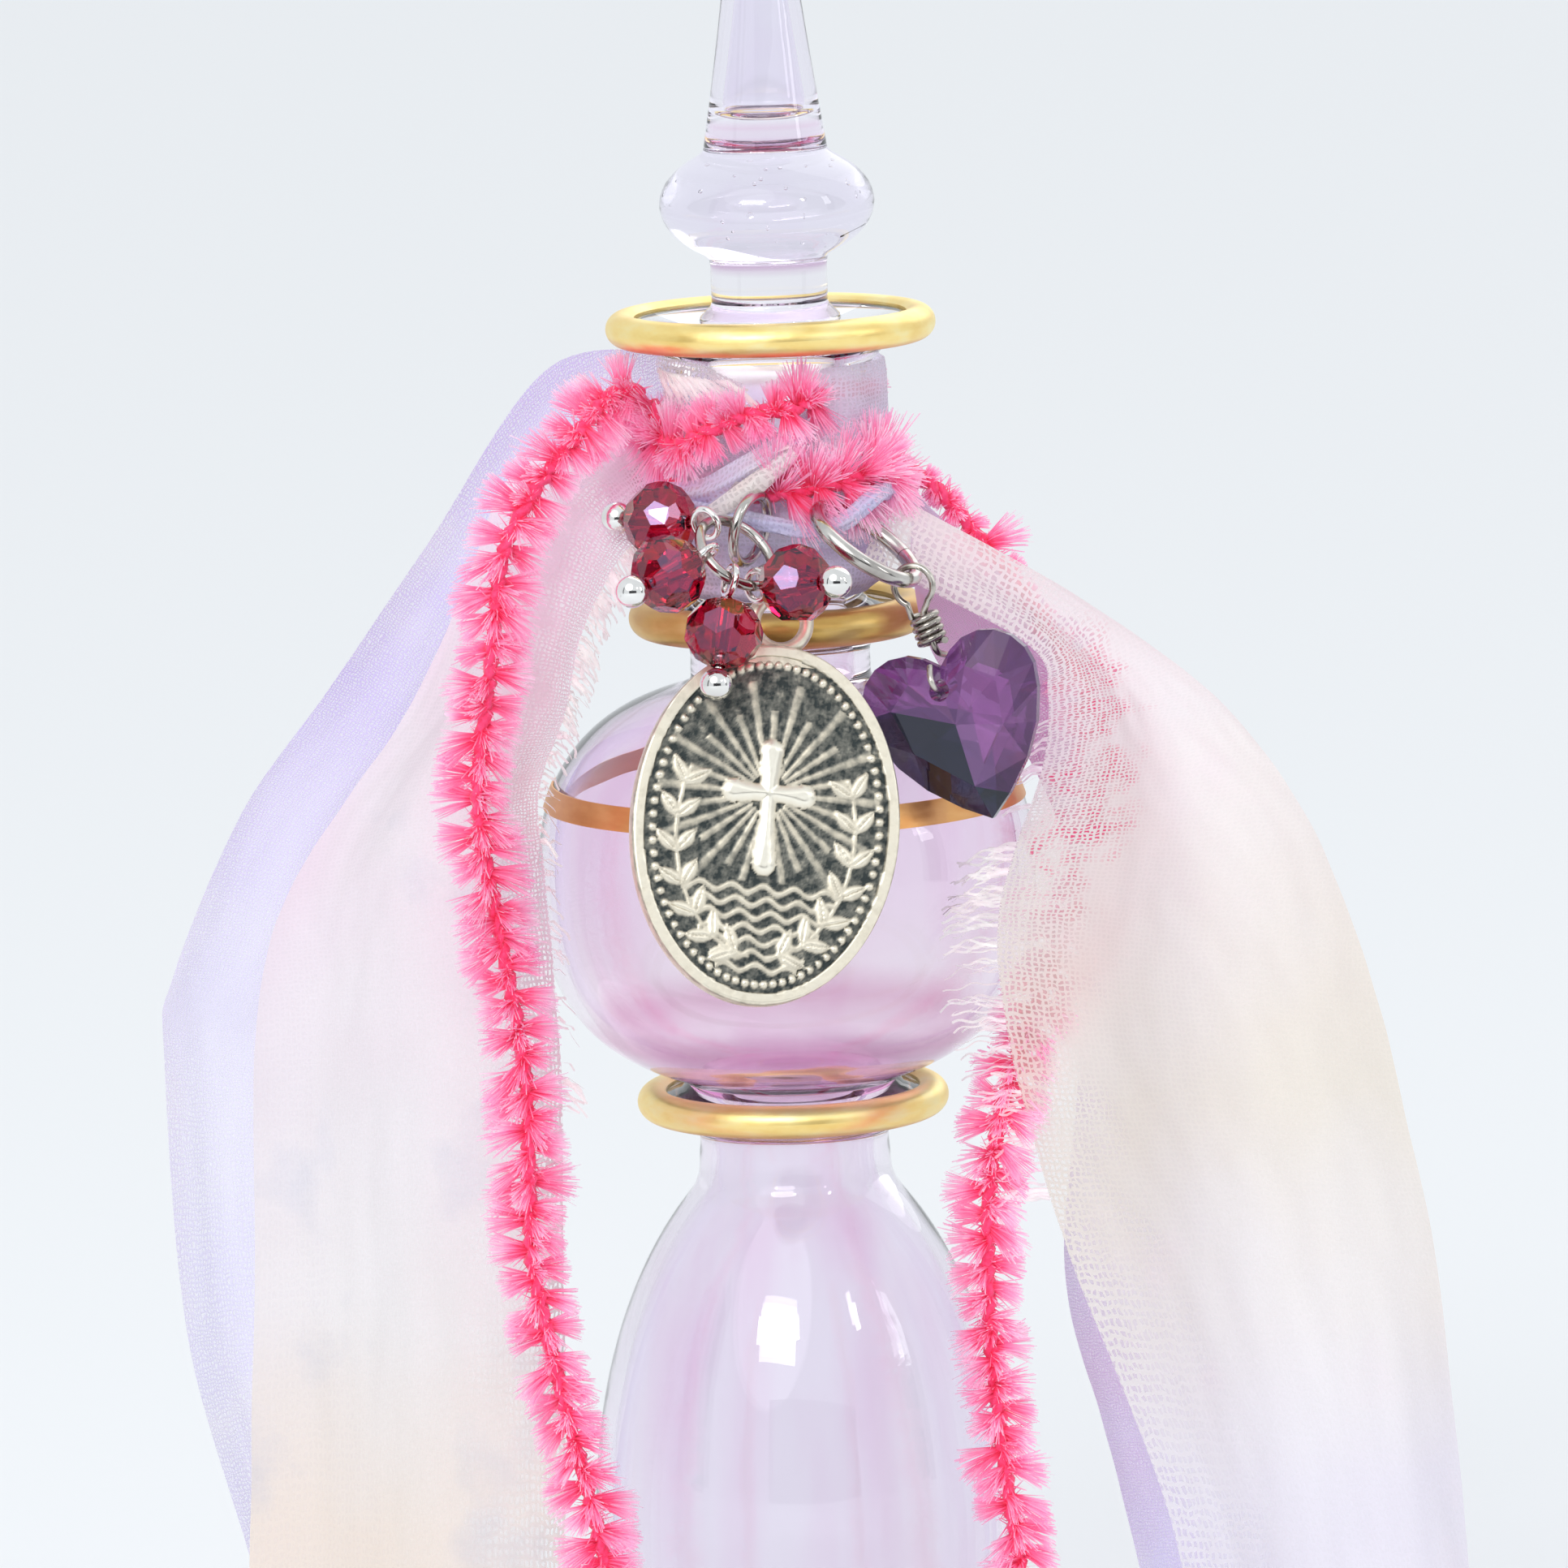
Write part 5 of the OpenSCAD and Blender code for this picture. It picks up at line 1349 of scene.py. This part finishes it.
# medal: oval plate with a generic rayed cross, leaf sprays and a beaded border
medal = dict(
    halfW=10.3, halfH=13.8, thick=1.3, rimW=0.9, relief=0.25, holeR=1.5, eyeW=1.1, turn=11, slant=9, gap=0.35,
    columns=150, rows=200, beads=76, beadIn=1.55, beadR=0.36, beadHigh=0.26, leaves=7, leafLong=2.2,
    leafHigh=0.26, leafNear=2.8, stemHalf=0.2, stemHigh=0.2, sprayW=6.9, sprayH=9.6, crossZ=2.4, crossUp=3.2,
    crossDown=5.4, crossArm=2.7, rays=28, longRay=8.6, shortRay=6.4, rayFrom=1.5, rayLow=-4.4, waterTop=-4.2,
    waves=7)


def medalLean():  # the lean at which its back clears the bulb
    back = medal["thick"] / 2 + medal["relief"] + medal["gap"]
    pivot = medalPivot / mm
    top = bulbZ + glass["bulbUpH"] - glass["bulbUpTuck"] - 4
    return max(math.atan((glassR(z) + back + pivot.y) / (pivot.z - z)) for z in spread(bulbZ, top, 12))


def medalFrame():
    drop = -(medal["holeR"] - rings["medal_ring"]["wire"] / 2 - linkGap)
    return (Matrix.Translation(medalPivot) @ turned(medal["turn"], "Z")
            @ Matrix.Rotation(-medalLean(), 4, "X") @ turned(medal["slant"], "Y")
            @ Matrix.Translation(vec(0, 0, drop)))


def segmentDistance(x, z, a, b):
    ax, az, bx, bz = *a, *b
    along = clamp(((x - ax) * (bx - ax) + (z - az) * (bz - az)) / ((bx - ax) ** 2 + (bz - az) ** 2))
    return math.hypot(x - ax - (bx - ax) * along, z - az - (bz - az) * along), along


def ridge(distance, half, high):  # a rounded ridge of that half width
    return high * math.sqrt(max(0, 1 - (distance / half) ** 2)) if distance < half else 0


def leafSprays():
    stems, leaves = [], []
    steps, long = medal["leaves"] * 2, medal["leafLong"]
    for side in (-1, 1):
        spine = []
        for s in spread(0, 1, steps):
            angle = math.radians(-84 + 112 * s)
            spine.append((side * medal["sprayW"] * math.cos(angle), -0.6 + medal["sprayH"] * math.sin(angle)))
        stems += list(zip(spine, spine[1:]))
        for i in range(1, steps, 2):
            (x0, z0), (x1, z1) = spine[i], spine[i + 1]
            step = math.hypot(x1 - x0, z1 - z0)
            dx, dz = (x1 - x0) / step, (z1 - z0) / step
            for hand in (-1, 1):
                aimX, aimZ = dx * 0.72 - dz * 0.69 * hand, dz * 0.72 + dx * 0.69 * hand
                leaves.append(((x0, z0), (x0 + aimX * long, z0 + aimZ * long)))
    return stems, leaves


def medalBorder(x, z):  # a row of small beads inside the rim
    step = 2 * math.pi / medal["beads"]
    near = round(math.atan2(z / medal["halfH"], x / medal["halfW"]) / step) * step
    awayX = x - (medal["halfW"] - medal["beadIn"]) * math.cos(near)
    awayZ = z - (medal["halfH"] - medal["beadIn"]) * math.sin(near)
    return ridge(math.hypot(awayX, awayZ), medal["beadR"], medal["beadHigh"])


def medalSprays(x, z, stems, leaves):
    high = max(ridge(segmentDistance(x, z, a, b)[0], medal["stemHalf"], medal["stemHigh"]) for a, b in stems)
    for a, b in leaves:
        if max(abs(x - a[0]), abs(z - a[1])) <= medal["leafNear"]:
            distance, along = segmentDistance(x, z, a, b)
            half = 0.12 + 0.5 * math.sin(math.pi * min(1, along * 0.94 + 0.06))
            vein = 0.09 if distance < 0.07 else 0
            high = max(high, ridge(distance, half, medal["leafHigh"]) - vein)
    return high


def medalCross(x, z):
    middle, arm = medal["crossZ"], medal["crossArm"]
    upright = (0, middle - medal["crossDown"]), (0, middle + medal["crossUp"])
    high = 0
    for a, b in (upright, ((-arm, middle), (arm, middle))):
        distance, along = segmentDistance(x, z, a, b)
        flare = 0.62 + 0.34 * abs(2 * along - 1) ** 2
        if distance < flare:
            high = max(high, 0.2 + 0.28 * min(1, (flare - distance) / 0.55))
    return high


def medalRays(x, z):  # long and short by turns
    rise = z - medal["crossZ"]
    far = math.hypot(x, rise)
    spoke = math.atan2(rise, x) / (2 * math.pi) * medal["rays"]
    long = medal["shortRay"] if round(spoke) % 2 else medal["longRay"]
    if z <= medal["rayLow"] or not medal["rayFrom"] < far < long:
        return 0
    width = abs(spoke - round(spoke)) * 2 * math.pi / medal["rays"] * far
    return ridge(width, 0.14 + 0.035 * far, 0.19 - 0.008 * far)


def medalWater(x, z):  # waves at the foot of the cross
    high = 0
    if z < medal["waterTop"]:
        for wave in range(medal["waves"]):
            level = -5 - wave
            if abs(x) < 6.2 - wave * 0.5:
                high = max(high, ridge(abs(z - level - 0.28 * math.sin(x * 2.6 + level)), 0.3, 0.2))
    return high


def medalHeight(x, z, stems, leaves):
    halfW, halfH = medal["halfW"], medal["halfH"]
    away = math.hypot(x / halfW, z / halfH)
    slope = math.hypot(x / halfW ** 2, z / halfH ** 2)
    inset = (away - away * away) / slope if slope > 1e-6 else halfW  # about the distance in from the edge
    if inset < medal["rimW"]:
        return medal["relief"] * min(1, 0.55 + 2.4 * math.sin(math.pi * max(0.0, inset) / medal["rimW"]))
    ground = 0.03 + 0.03 * noise.noise(Vector((x * 1.7, z * 1.7, 4)))
    ground += 0.045 * noise.noise(Vector((x * 5, z * 5, 1)))
    return max(ground, medalBorder(x, z), medalSprays(x, z, stems, leaves), medalCross(x, z), medalRays(x, z),
               medalWater(x, z))


def medalMaterial():
    material, tree, bsdf = newMaterial("oxidisedSilver")
    grain = noiseNode(tree, objectCoords(tree), 1300, 4)
    rub = mathNode(tree, "ADD", attribute(tree, "relief"), mapRange(tree, grain, 0.3, 0.7, -0.1, 0.1))
    tone = ramp(tree, rub, [(0.0, (0.045, 0.055, 0.055)), (0.14, (0.2, 0.2, 0.175)),
                            (0.34, (0.62, 0.57, 0.46)), (0.52, (0.86, 0.8, 0.66)),
                            (0.9, (0.95, 0.91, 0.79))])
    rough = ramp(tree, rub, [(0.1, grey(0.62)), (0.7, grey(0.3))])
    give(tree, bsdf, {"Base Color": tone, "Roughness": rough, "Metallic": 0.85})
    bump(tree, bsdf, grain, 0.25, 0.1)
    return material


def thicken():  # the active piece, from its face to its back
    editMode()
    bpy.ops.mesh.select_all(action="SELECT")
    bpy.ops.mesh.extrude_region_move(TRANSFORM_OT_translate={"value": (0, medal["thick"] * mm, 0)})
    objectMode()


def medalPlate():
    stems, leaves = leafSprays()
    drop = medal["halfH"] + medal["holeR"] + medal["eyeW"] * 0.3
    plate = grid("medalPlate", medal["columns"], medal["rows"])
    heights = []
    for vertex in plate.data.vertices:
        a, b = vertex.co.x, vertex.co.y
        x = medal["halfW"] * a * math.sqrt(1 - b * b / 2)  # square grid pressed to an oval
        z = medal["halfH"] * b * math.sqrt(1 - a * a / 2)
        high = medalHeight(x, z, stems, leaves)
        heights.append(high)
        vertex.co = vec(x, -medal["thick"] / 2 - high, z - drop)
    front = len(heights)
    thicken()
    back = medal["thick"] / 2 * mm
    for vertex in plate.data.vertices:
        if vertex.select:
            x, z = vertex.co.x / mm, vertex.co.z / mm + drop
            edge = math.hypot(x / medal["halfW"], z / medal["halfH"]) > 1 - medal["rimW"] / medal["halfW"]
            vertex.co.y = back + (medal["relief"] * 0.8 * mm if edge else 0)
    mendMesh()
    for vertex in plate.data.vertices:
        if vertex.index >= front:
            heights.append(0.12 if vertex.co.y <= back + 1e-6 else 0.24)
    top = max(heights)
    mark(plate, "relief", [high / top for high in heights])
    return plate


def medalEye():
    half = medal["eyeW"] / 2
    deselect()
    bpy.ops.mesh.primitive_torus_add(major_radius=(medal["holeR"] + half) * mm, minor_radius=half * mm,
                                     major_segments=64, minor_segments=20)
    eye = named("medalEye")
    eye.data.transform(turned(90, "X"))
    mark(eye, "relief", [0.5] * len(eye.data.vertices))
    return eye


def medalNeck():  # joins the eye to the plate
    neck = grid("medalNeck", 24, 16)
    top, low = -(medal["holeR"] + medal["eyeW"] * 0.55), -(medal["holeR"] + medal["eyeW"] + 0.75)
    for vertex in neck.data.vertices:
        a, b = vertex.co.x, (vertex.co.y + 1) / 2
        wide = 1.15 + 2 * (1 - b) ** 2.2
        face = -medal["thick"] * 0.5 - 0.12 * math.sqrt(max(0, 1 - a * a))
        vertex.co = vec(a * wide, face, low + (top - low) * b)
    thicken()
    mendMesh()
    mark(neck, "relief", [0.42] * len(neck.data.vertices))
    return neck


def makeMedal():
    plate, eye, neck = medalPlate(), medalEye(), medalNeck()
    for piece in (plate, eye, neck):
        piece.data.transform(medalFrame())
        smooth(piece, 50)
    join(plate, eye, neck)
    settle(plate, medalMaterial(), "medal", "oxidised_silver", "medal")


makeMedal()
print("medal made")


# crystal heart on its wrapped wire
heart = dict(
    wide=14.4, high=14, thick=5.6, girdle=1.6, lobe=0.26, lobeZ=-0.3, notch=0.93, belly=(6.7, -6.2),
    holeR=0.8, wireD=0.52, wireGap=0.35, loopR=1.55, turns=2.5, pitch=0.98, wraps=4.5, slant=19, gap=0.4,
    seed=8)
heartPivot = onRing(rings["charm_ring"], 0)
loopZ = -(heart["loopR"] - heart["wireD"] / 2 - rings["charm_ring"]["wire"] / 2 - linkGap)
stemTopZ = loopZ - heart["loopR"] - 0.55
coilR = heart["wireD"] + 0.45
coilTopZ = stemTopZ - 0.15
coilEndZ = coilTopZ - heart["turns"] * heart["pitch"]
lobeR, lobeZ = heart["wide"] * heart["lobe"], heart["lobeZ"]
lobeX = heart["wide"] / 2 - lobeR
shoulder = math.sqrt(lobeR ** 2 - (lobeX - coilR - heart["wireD"]) ** 2)
heartHoleZ = coilEndZ - heart["wireD"] / 2 - heart["wireGap"] - lobeZ - shoulder
tipZ = lobeZ + lobeR - heart["high"]
sideAngle = math.atan2(lobeZ - tipZ, lobeX) - math.acos(lobeR / math.hypot(lobeX, lobeZ - tipZ))
notchAngle = math.acos(-lobeX / lobeR * heart["notch"])
heartCentre = (0, -heart["high"] * 0.2)


def lobeArc(start, count):  # over the lobe to the notch
    turns = spread(start, notchAngle, count)
    arc = [(lobeX + lobeR * math.cos(a), lobeZ + lobeR * math.sin(a)) for a in turns]
    notch = (0, arc.pop()[1])
    return arc, notch


def bothSides(side, notch):  # from the tip round to the tip
    return [(0, tipZ)] + side + [notch] + [(-x, z) for x, z in reversed(side)]


def heartOutline(count):
    start = -(math.pi / 2 - sideAngle) + math.radians(38)
    return bothSides(*lobeArc(start, count))


def heartTilt():  # the tilt at which its back clears the bulb
    turn, slant = math.radians(rings["charm_ring"]["turn"]), math.radians(heart["slant"])
    pivot, (middleX, middleZ) = heartPivot / mm, heartCentre
    belt = heart["girdle"] / heart["thick"]
    tilts = [0]
    for share, depth in ((0.5, 1), (1, belt), (1, -belt), (0.5, -1)):
        for x, z in heartOutline(9):
            qx, qz = middleX + (x - middleX) * share, middleZ + (z - middleZ) * share + heartHoleZ
            qy = depth * heart["thick"] / 2
            wide = qx * math.cos(slant) - qz * math.sin(slant)
            place = pivot + Vector((wide * math.cos(turn) - qy * math.sin(turn),
                                    wide * math.sin(turn) + qy * math.cos(turn),
                                    qx * math.sin(slant) + qz * math.cos(slant)))
            below = pivot.z - place.z
            if below >= 4:
                front = math.sqrt(max(0, glassR(place.z) ** 2 - place.x ** 2))
                tilts.append(math.atan((front + heart["gap"] + place.y) / below / math.cos(turn)))
    return max(tilts)


def heartFrame():
    return (Matrix.Translation(heartPivot) @ turned(rings["charm_ring"]["turn"], "Z")
            @ Matrix.Rotation(-heartTilt(), 4, "X") @ turned(-heart["slant"], "Y"))


def crystalOutline():  # full sides that swell down to a blunt tip
    lobe, notch = lobeArc(0, 7)
    wide, (bellyX, bellyZ) = lobe[0][0], heart["belly"]
    side = []
    for t in spread(0.16, 0.84, 3):
        low, middle, high = (1 - t) ** 2, 2 * t * (1 - t), t * t
        side.append((middle * bellyX + high * wide, low * tipZ + middle * bellyZ + high * lobeZ))
    return bothSides(side + lobe, notch)


def heartMaterial():
    material, tree, bsdf = newMaterial("violetCrystal")
    coords = objectCoords(tree)
    cloud = mapRange(tree, noiseNode(tree, coords, 120, 1), 0.3, 0.7, -0.08, 0.08)
    # painted shade: facetShade darkens the facets turned from the light towards navy
    zone = mathNode(tree, "ADD", attribute(tree, "facetShade"), cloud)
    tone = ramp(tree, zone, [(0, (0.37, 0.145, 0.41)), (0.4, (0.155, 0.045, 0.205)),
                             (0.85, (0.01, 0.02, 0.045)), (1, (0.006, 0.009, 0.03))])
    rough = mapRange(tree, noiseNode(tree, coords, 1500, 2), 0.6, 0.75, 0.0, 0.12)
    give(tree, bsdf, {"Base Color": tone, "Roughness": rough, "Transmission Weight": 0.72, "IOR": 1.56})
    lampLight(tree, bsdf.outputs[0], (0.72, 0.58, 0.78))
    return material


def makeHeart():
    rim = crystalOutline()
    count = len(rim)
    half, girdle = heart["thick"] / 2, heart["girdle"] / 2
    crystal = outline("crystalHeart", [(x, -girdle * 0.5, z) for x, z in rim])
    mesh = bmesh.new()
    mesh.from_mesh(crystal.data)
    mesh.verts.ensure_lookup_table()
    front = list(mesh.verts)
    rear = [mesh.verts.new(v.co + vec(0, girdle, 0)) for v in front]
    for sign, edge, share, rise, (apexX, apexZ) in ((-1, front, 0.64, 0.78, (0.5, -2.8)),
                                                    (1, rear, 0.46, 0.7, (0.6, -2.4))):
        depth = girdle + (half - girdle) * rise
        inner = []
        for x, z in rim[::3]:  # every third corner of the girdle has a facet corner inside it
            place = vec(apexX + (x - apexX) * share, sign * depth, apexZ + (z - apexZ) * share)
            inner.append(mesh.verts.new(place))
        top = mesh.verts.new(vec(apexX, sign * half, apexZ))
        for k in range(len(inner)):
            a, b, c, d = (edge[(3 * k + step) % count] for step in range(4))
            p, q = inner[k], inner[(k + 1) % len(inner)]
            for corners in ((a, b, p), (b, c, p), (c, q, p), (c, d, q), (p, q, top)):
                mesh.faces.new(corners if sign < 0 else tuple(reversed(corners)))
    for k in range(count):
        mesh.faces.new((front[k], rear[k], rear[(k + 1) % count], front[(k + 1) % count]))
    bmesh.ops.recalc_face_normals(mesh, faces=mesh.faces)
    mesh.to_mesh(crystal.data)
    mesh.free()
    drill(crystal, heart["holeR"], heart["thick"] * 2, 32, math.pi / 2)
    chance = random.Random(heart["seed"])
    facetShade = []
    for face in crystal.data.polygons:  # painted shade: the facets that throw the light away are painted dark
        turn = math.degrees(math.atan2(face.center.z / mm + 2.6, face.center.x / mm - 0.55)) % 360
        pale = chance.uniform(0, 0.3 if turn < 150 else 0.45)
        facetShade.append(1.0 if 158 < turn < 236 else 0.86 if 236 <= turn < 280 else pale)
    mark(crystal, "facetShade", facetShade, "FACE")
    crystal.data.transform(heartFrame() @ Matrix.Translation(vec(0, 0, heartHoleZ)))
    settle(crystal, heartMaterial(), "heart", "violet_crystal", "heart")


def makeHeartWire():
    legY, hole, loopR = heart["thick"] / 2 + heart["wireD"], heartHoleZ, heart["loopR"]
    legs = [(0, -legY * 0.75, hole + 2), (0, -legY, hole + 1), (0, -legY * 0.8, hole + 0.15), (0, 0, hole),
            (0, legY * 0.8, hole + 0.15), (0, legY, hole + 1), (0, legY * 0.75, hole + 2.2),
            (0, 0.35, coilEndZ - 0.7), (0, 0, coilEndZ + 0.4), (0, 0, coilTopZ - 0.2)]
    path = smoothPath([vec(*p) for p in legs], 8)
    path.append(vec(0.12, 0, stemTopZ))
    for a in spread(-60, 232, 48):
        angle = math.radians(a)
        path.append(vec(loopR * math.cos(angle), 0, loopZ + loopR * math.sin(angle)))
    path.append(vec(-coilR - 0.02, 0, coilTopZ))
    steps = int(heart["wraps"] * 24)  # the wraps lie close together
    for i in range(1, steps + 1):
        angle, z = math.pi - 2 * math.pi * i / 24, coilTopZ + (coilEndZ - coilTopZ) * i / steps
        path.append(vec(coilR * math.cos(angle), coilR * math.sin(angle), z))
    wire = wireAlong("heartWire", path, heart["wireD"] / 2 * mm, 4)
    wire.data.transform(heartFrame())
    smooth(wire, 50)
    steel = metal("agedWire", (0.4, 0.37, 0.33), (0.66, 0.63, 0.57), (0.16, 0.34), 700, (0.2, 0.17, 0.15))
    settle(wire, steel, "heart", "dark_wire", "heart_wire")


makeHeart()
makeHeartWire()
print("heart made")


# cut glass beads, modelled once and copied on to each pin
bead = dict(
    wide=5.84, long=5.4, sides=9, rough=1.12, hole=1, holeInset=0.3, pinWire=0.54, eyeR=1.15, gap=0.12,
    at=(198, 266, 357, 314), heading=(144, 228, 315, 252), dip=(0, 12, -6, 61))  # of each of the four
pinSeat = bead["eyeR"] - bead["pinWire"] / 2 - rings["cluster_ring"]["wire"] / 2 - linkGap
beadAt = pinSeat * 0.4 + bead["eyeR"] + bead["pinWire"] / 2 + bead["gap"] + bead["long"] / 2


def dropFrame(k):
    cluster, at = rings["cluster_ring"], bead["at"][k]
    dip, heading = math.radians(bead["dip"][k]), math.radians(bead["heading"][k])
    z = Vector((math.cos(dip) * math.cos(heading), math.cos(dip) * math.sin(heading), -math.sin(dip)))
    along = (onRing(cluster, at + 0.5) - onRing(cluster, at - 0.5)).normalized()
    y = (along - z * along.dot(z)).normalized()
    return standing(y.cross(z), y, z, onRing(cluster, at))


beadRows = [  # tilt, shift, reach
    (0, 0, 0.96), (34, 0.5, 0.945), (-34, 0.5, 0.945), (64, 0, 0.93), (-64, 0, 0.93)]


def beadSpin(k):  # one facet throws the front window to the viewer
    seat = dropFrame(k)
    place = seat @ vec(0, 0, beadAt)
    spots = view["place"], studio["windows"]["frontPane"][0]
    toEye, toPane = ((vec(*spot) - place).normalized() for spot in spots)
    aim = seat.to_3x3().transposed() @ (toEye + toPane).normalized()
    tilt = math.degrees(math.asin(aim.z))
    row = min(beadRows, key=lambda row: abs(row[0] - tilt))
    return math.atan2(aim.y, aim.x) - 2 * math.pi * row[1] / bead["sides"]


def cutBead():  # a round stone ground flat, facet by facet
    r, half = bead["wide"] / 2, bead["long"] / 2
    deselect()
    bpy.ops.mesh.primitive_uv_sphere_add(segments=48, ring_count=32, radius=r * bead["rough"] * mm)
    stone = named("cutBead")
    editMode()
    cuts = [(0, 0, 1, half), (0, 0, -1, half)]
    for tilt, shift, reach in beadRows:
        rise = math.radians(tilt)
        for k in range(bead["sides"]):
            turn = 2 * math.pi * (k + shift) / bead["sides"]
            x, y = math.cos(rise) * math.cos(turn), math.cos(rise) * math.sin(turn)
            cuts.append((x, y, math.sin(rise), r * reach))
    for x, y, z, far in cuts:
        bpy.ops.mesh.select_all(action="SELECT")
        bpy.ops.mesh.bisect(plane_co=vec(x * far, y * far, z * far), plane_no=(x, y, z), use_fill=True,
                            clear_outer=True)
    bpy.ops.mesh.select_all(action="SELECT")
    bpy.ops.mesh.dissolve_limited(angle_limit=math.radians(1))
    pickFaces(stone, lambda face: abs(face.normal.z) > 0.98)
    bpy.ops.mesh.inset(thickness=bead["holeInset"] * mm, use_boundary=True)
    objectMode()
    drill(stone, bead["hole"] / 2, bead["long"] * 2, 24)
    return stone


def beadMaterial():
    material, tree, bsdf = newMaterial("garnetGlass")
    coords = objectCoords(tree)
    depth = noiseNode(tree, coords, 240, 1)
    give(tree, bsdf, {
        "Base Color": ramp(tree, depth, [(0.35, (0.3, 0.002, 0.014)), (0.65, (0.48, 0.006, 0.03))]),
        "Roughness": mapRange(tree, noiseNode(tree, coords, 1800, 2), 0.6, 0.75, 0.0, 0.1),
        "Transmission Weight": 1, "IOR": 1.58, "Coat Weight": 0.2,
        "Thin Film Thickness": 150, "Thin Film IOR": 1.85})  # rainbow coat
    lampLight(tree, bsdf.outputs[0], (0.7, 0.3, 0.36))
    return material


def makeBeads():
    material, stone = beadMaterial(), cutBead()
    for k in range(4):
        number = str(k + 1)
        copy = addMesh("garnetBead" + number, stone.data.copy())
        spin = Matrix.Rotation(beadSpin(k), 4, "Z")
        copy.data.transform(dropFrame(k) @ Matrix.Translation(vec(0, 0, beadAt)) @ spin)
        settle(copy, material, "bead_drop_" + number, "red_glass", "red_bead_" + number)
    bpy.data.objects.remove(stone)


makeBeads()
print("beads made")
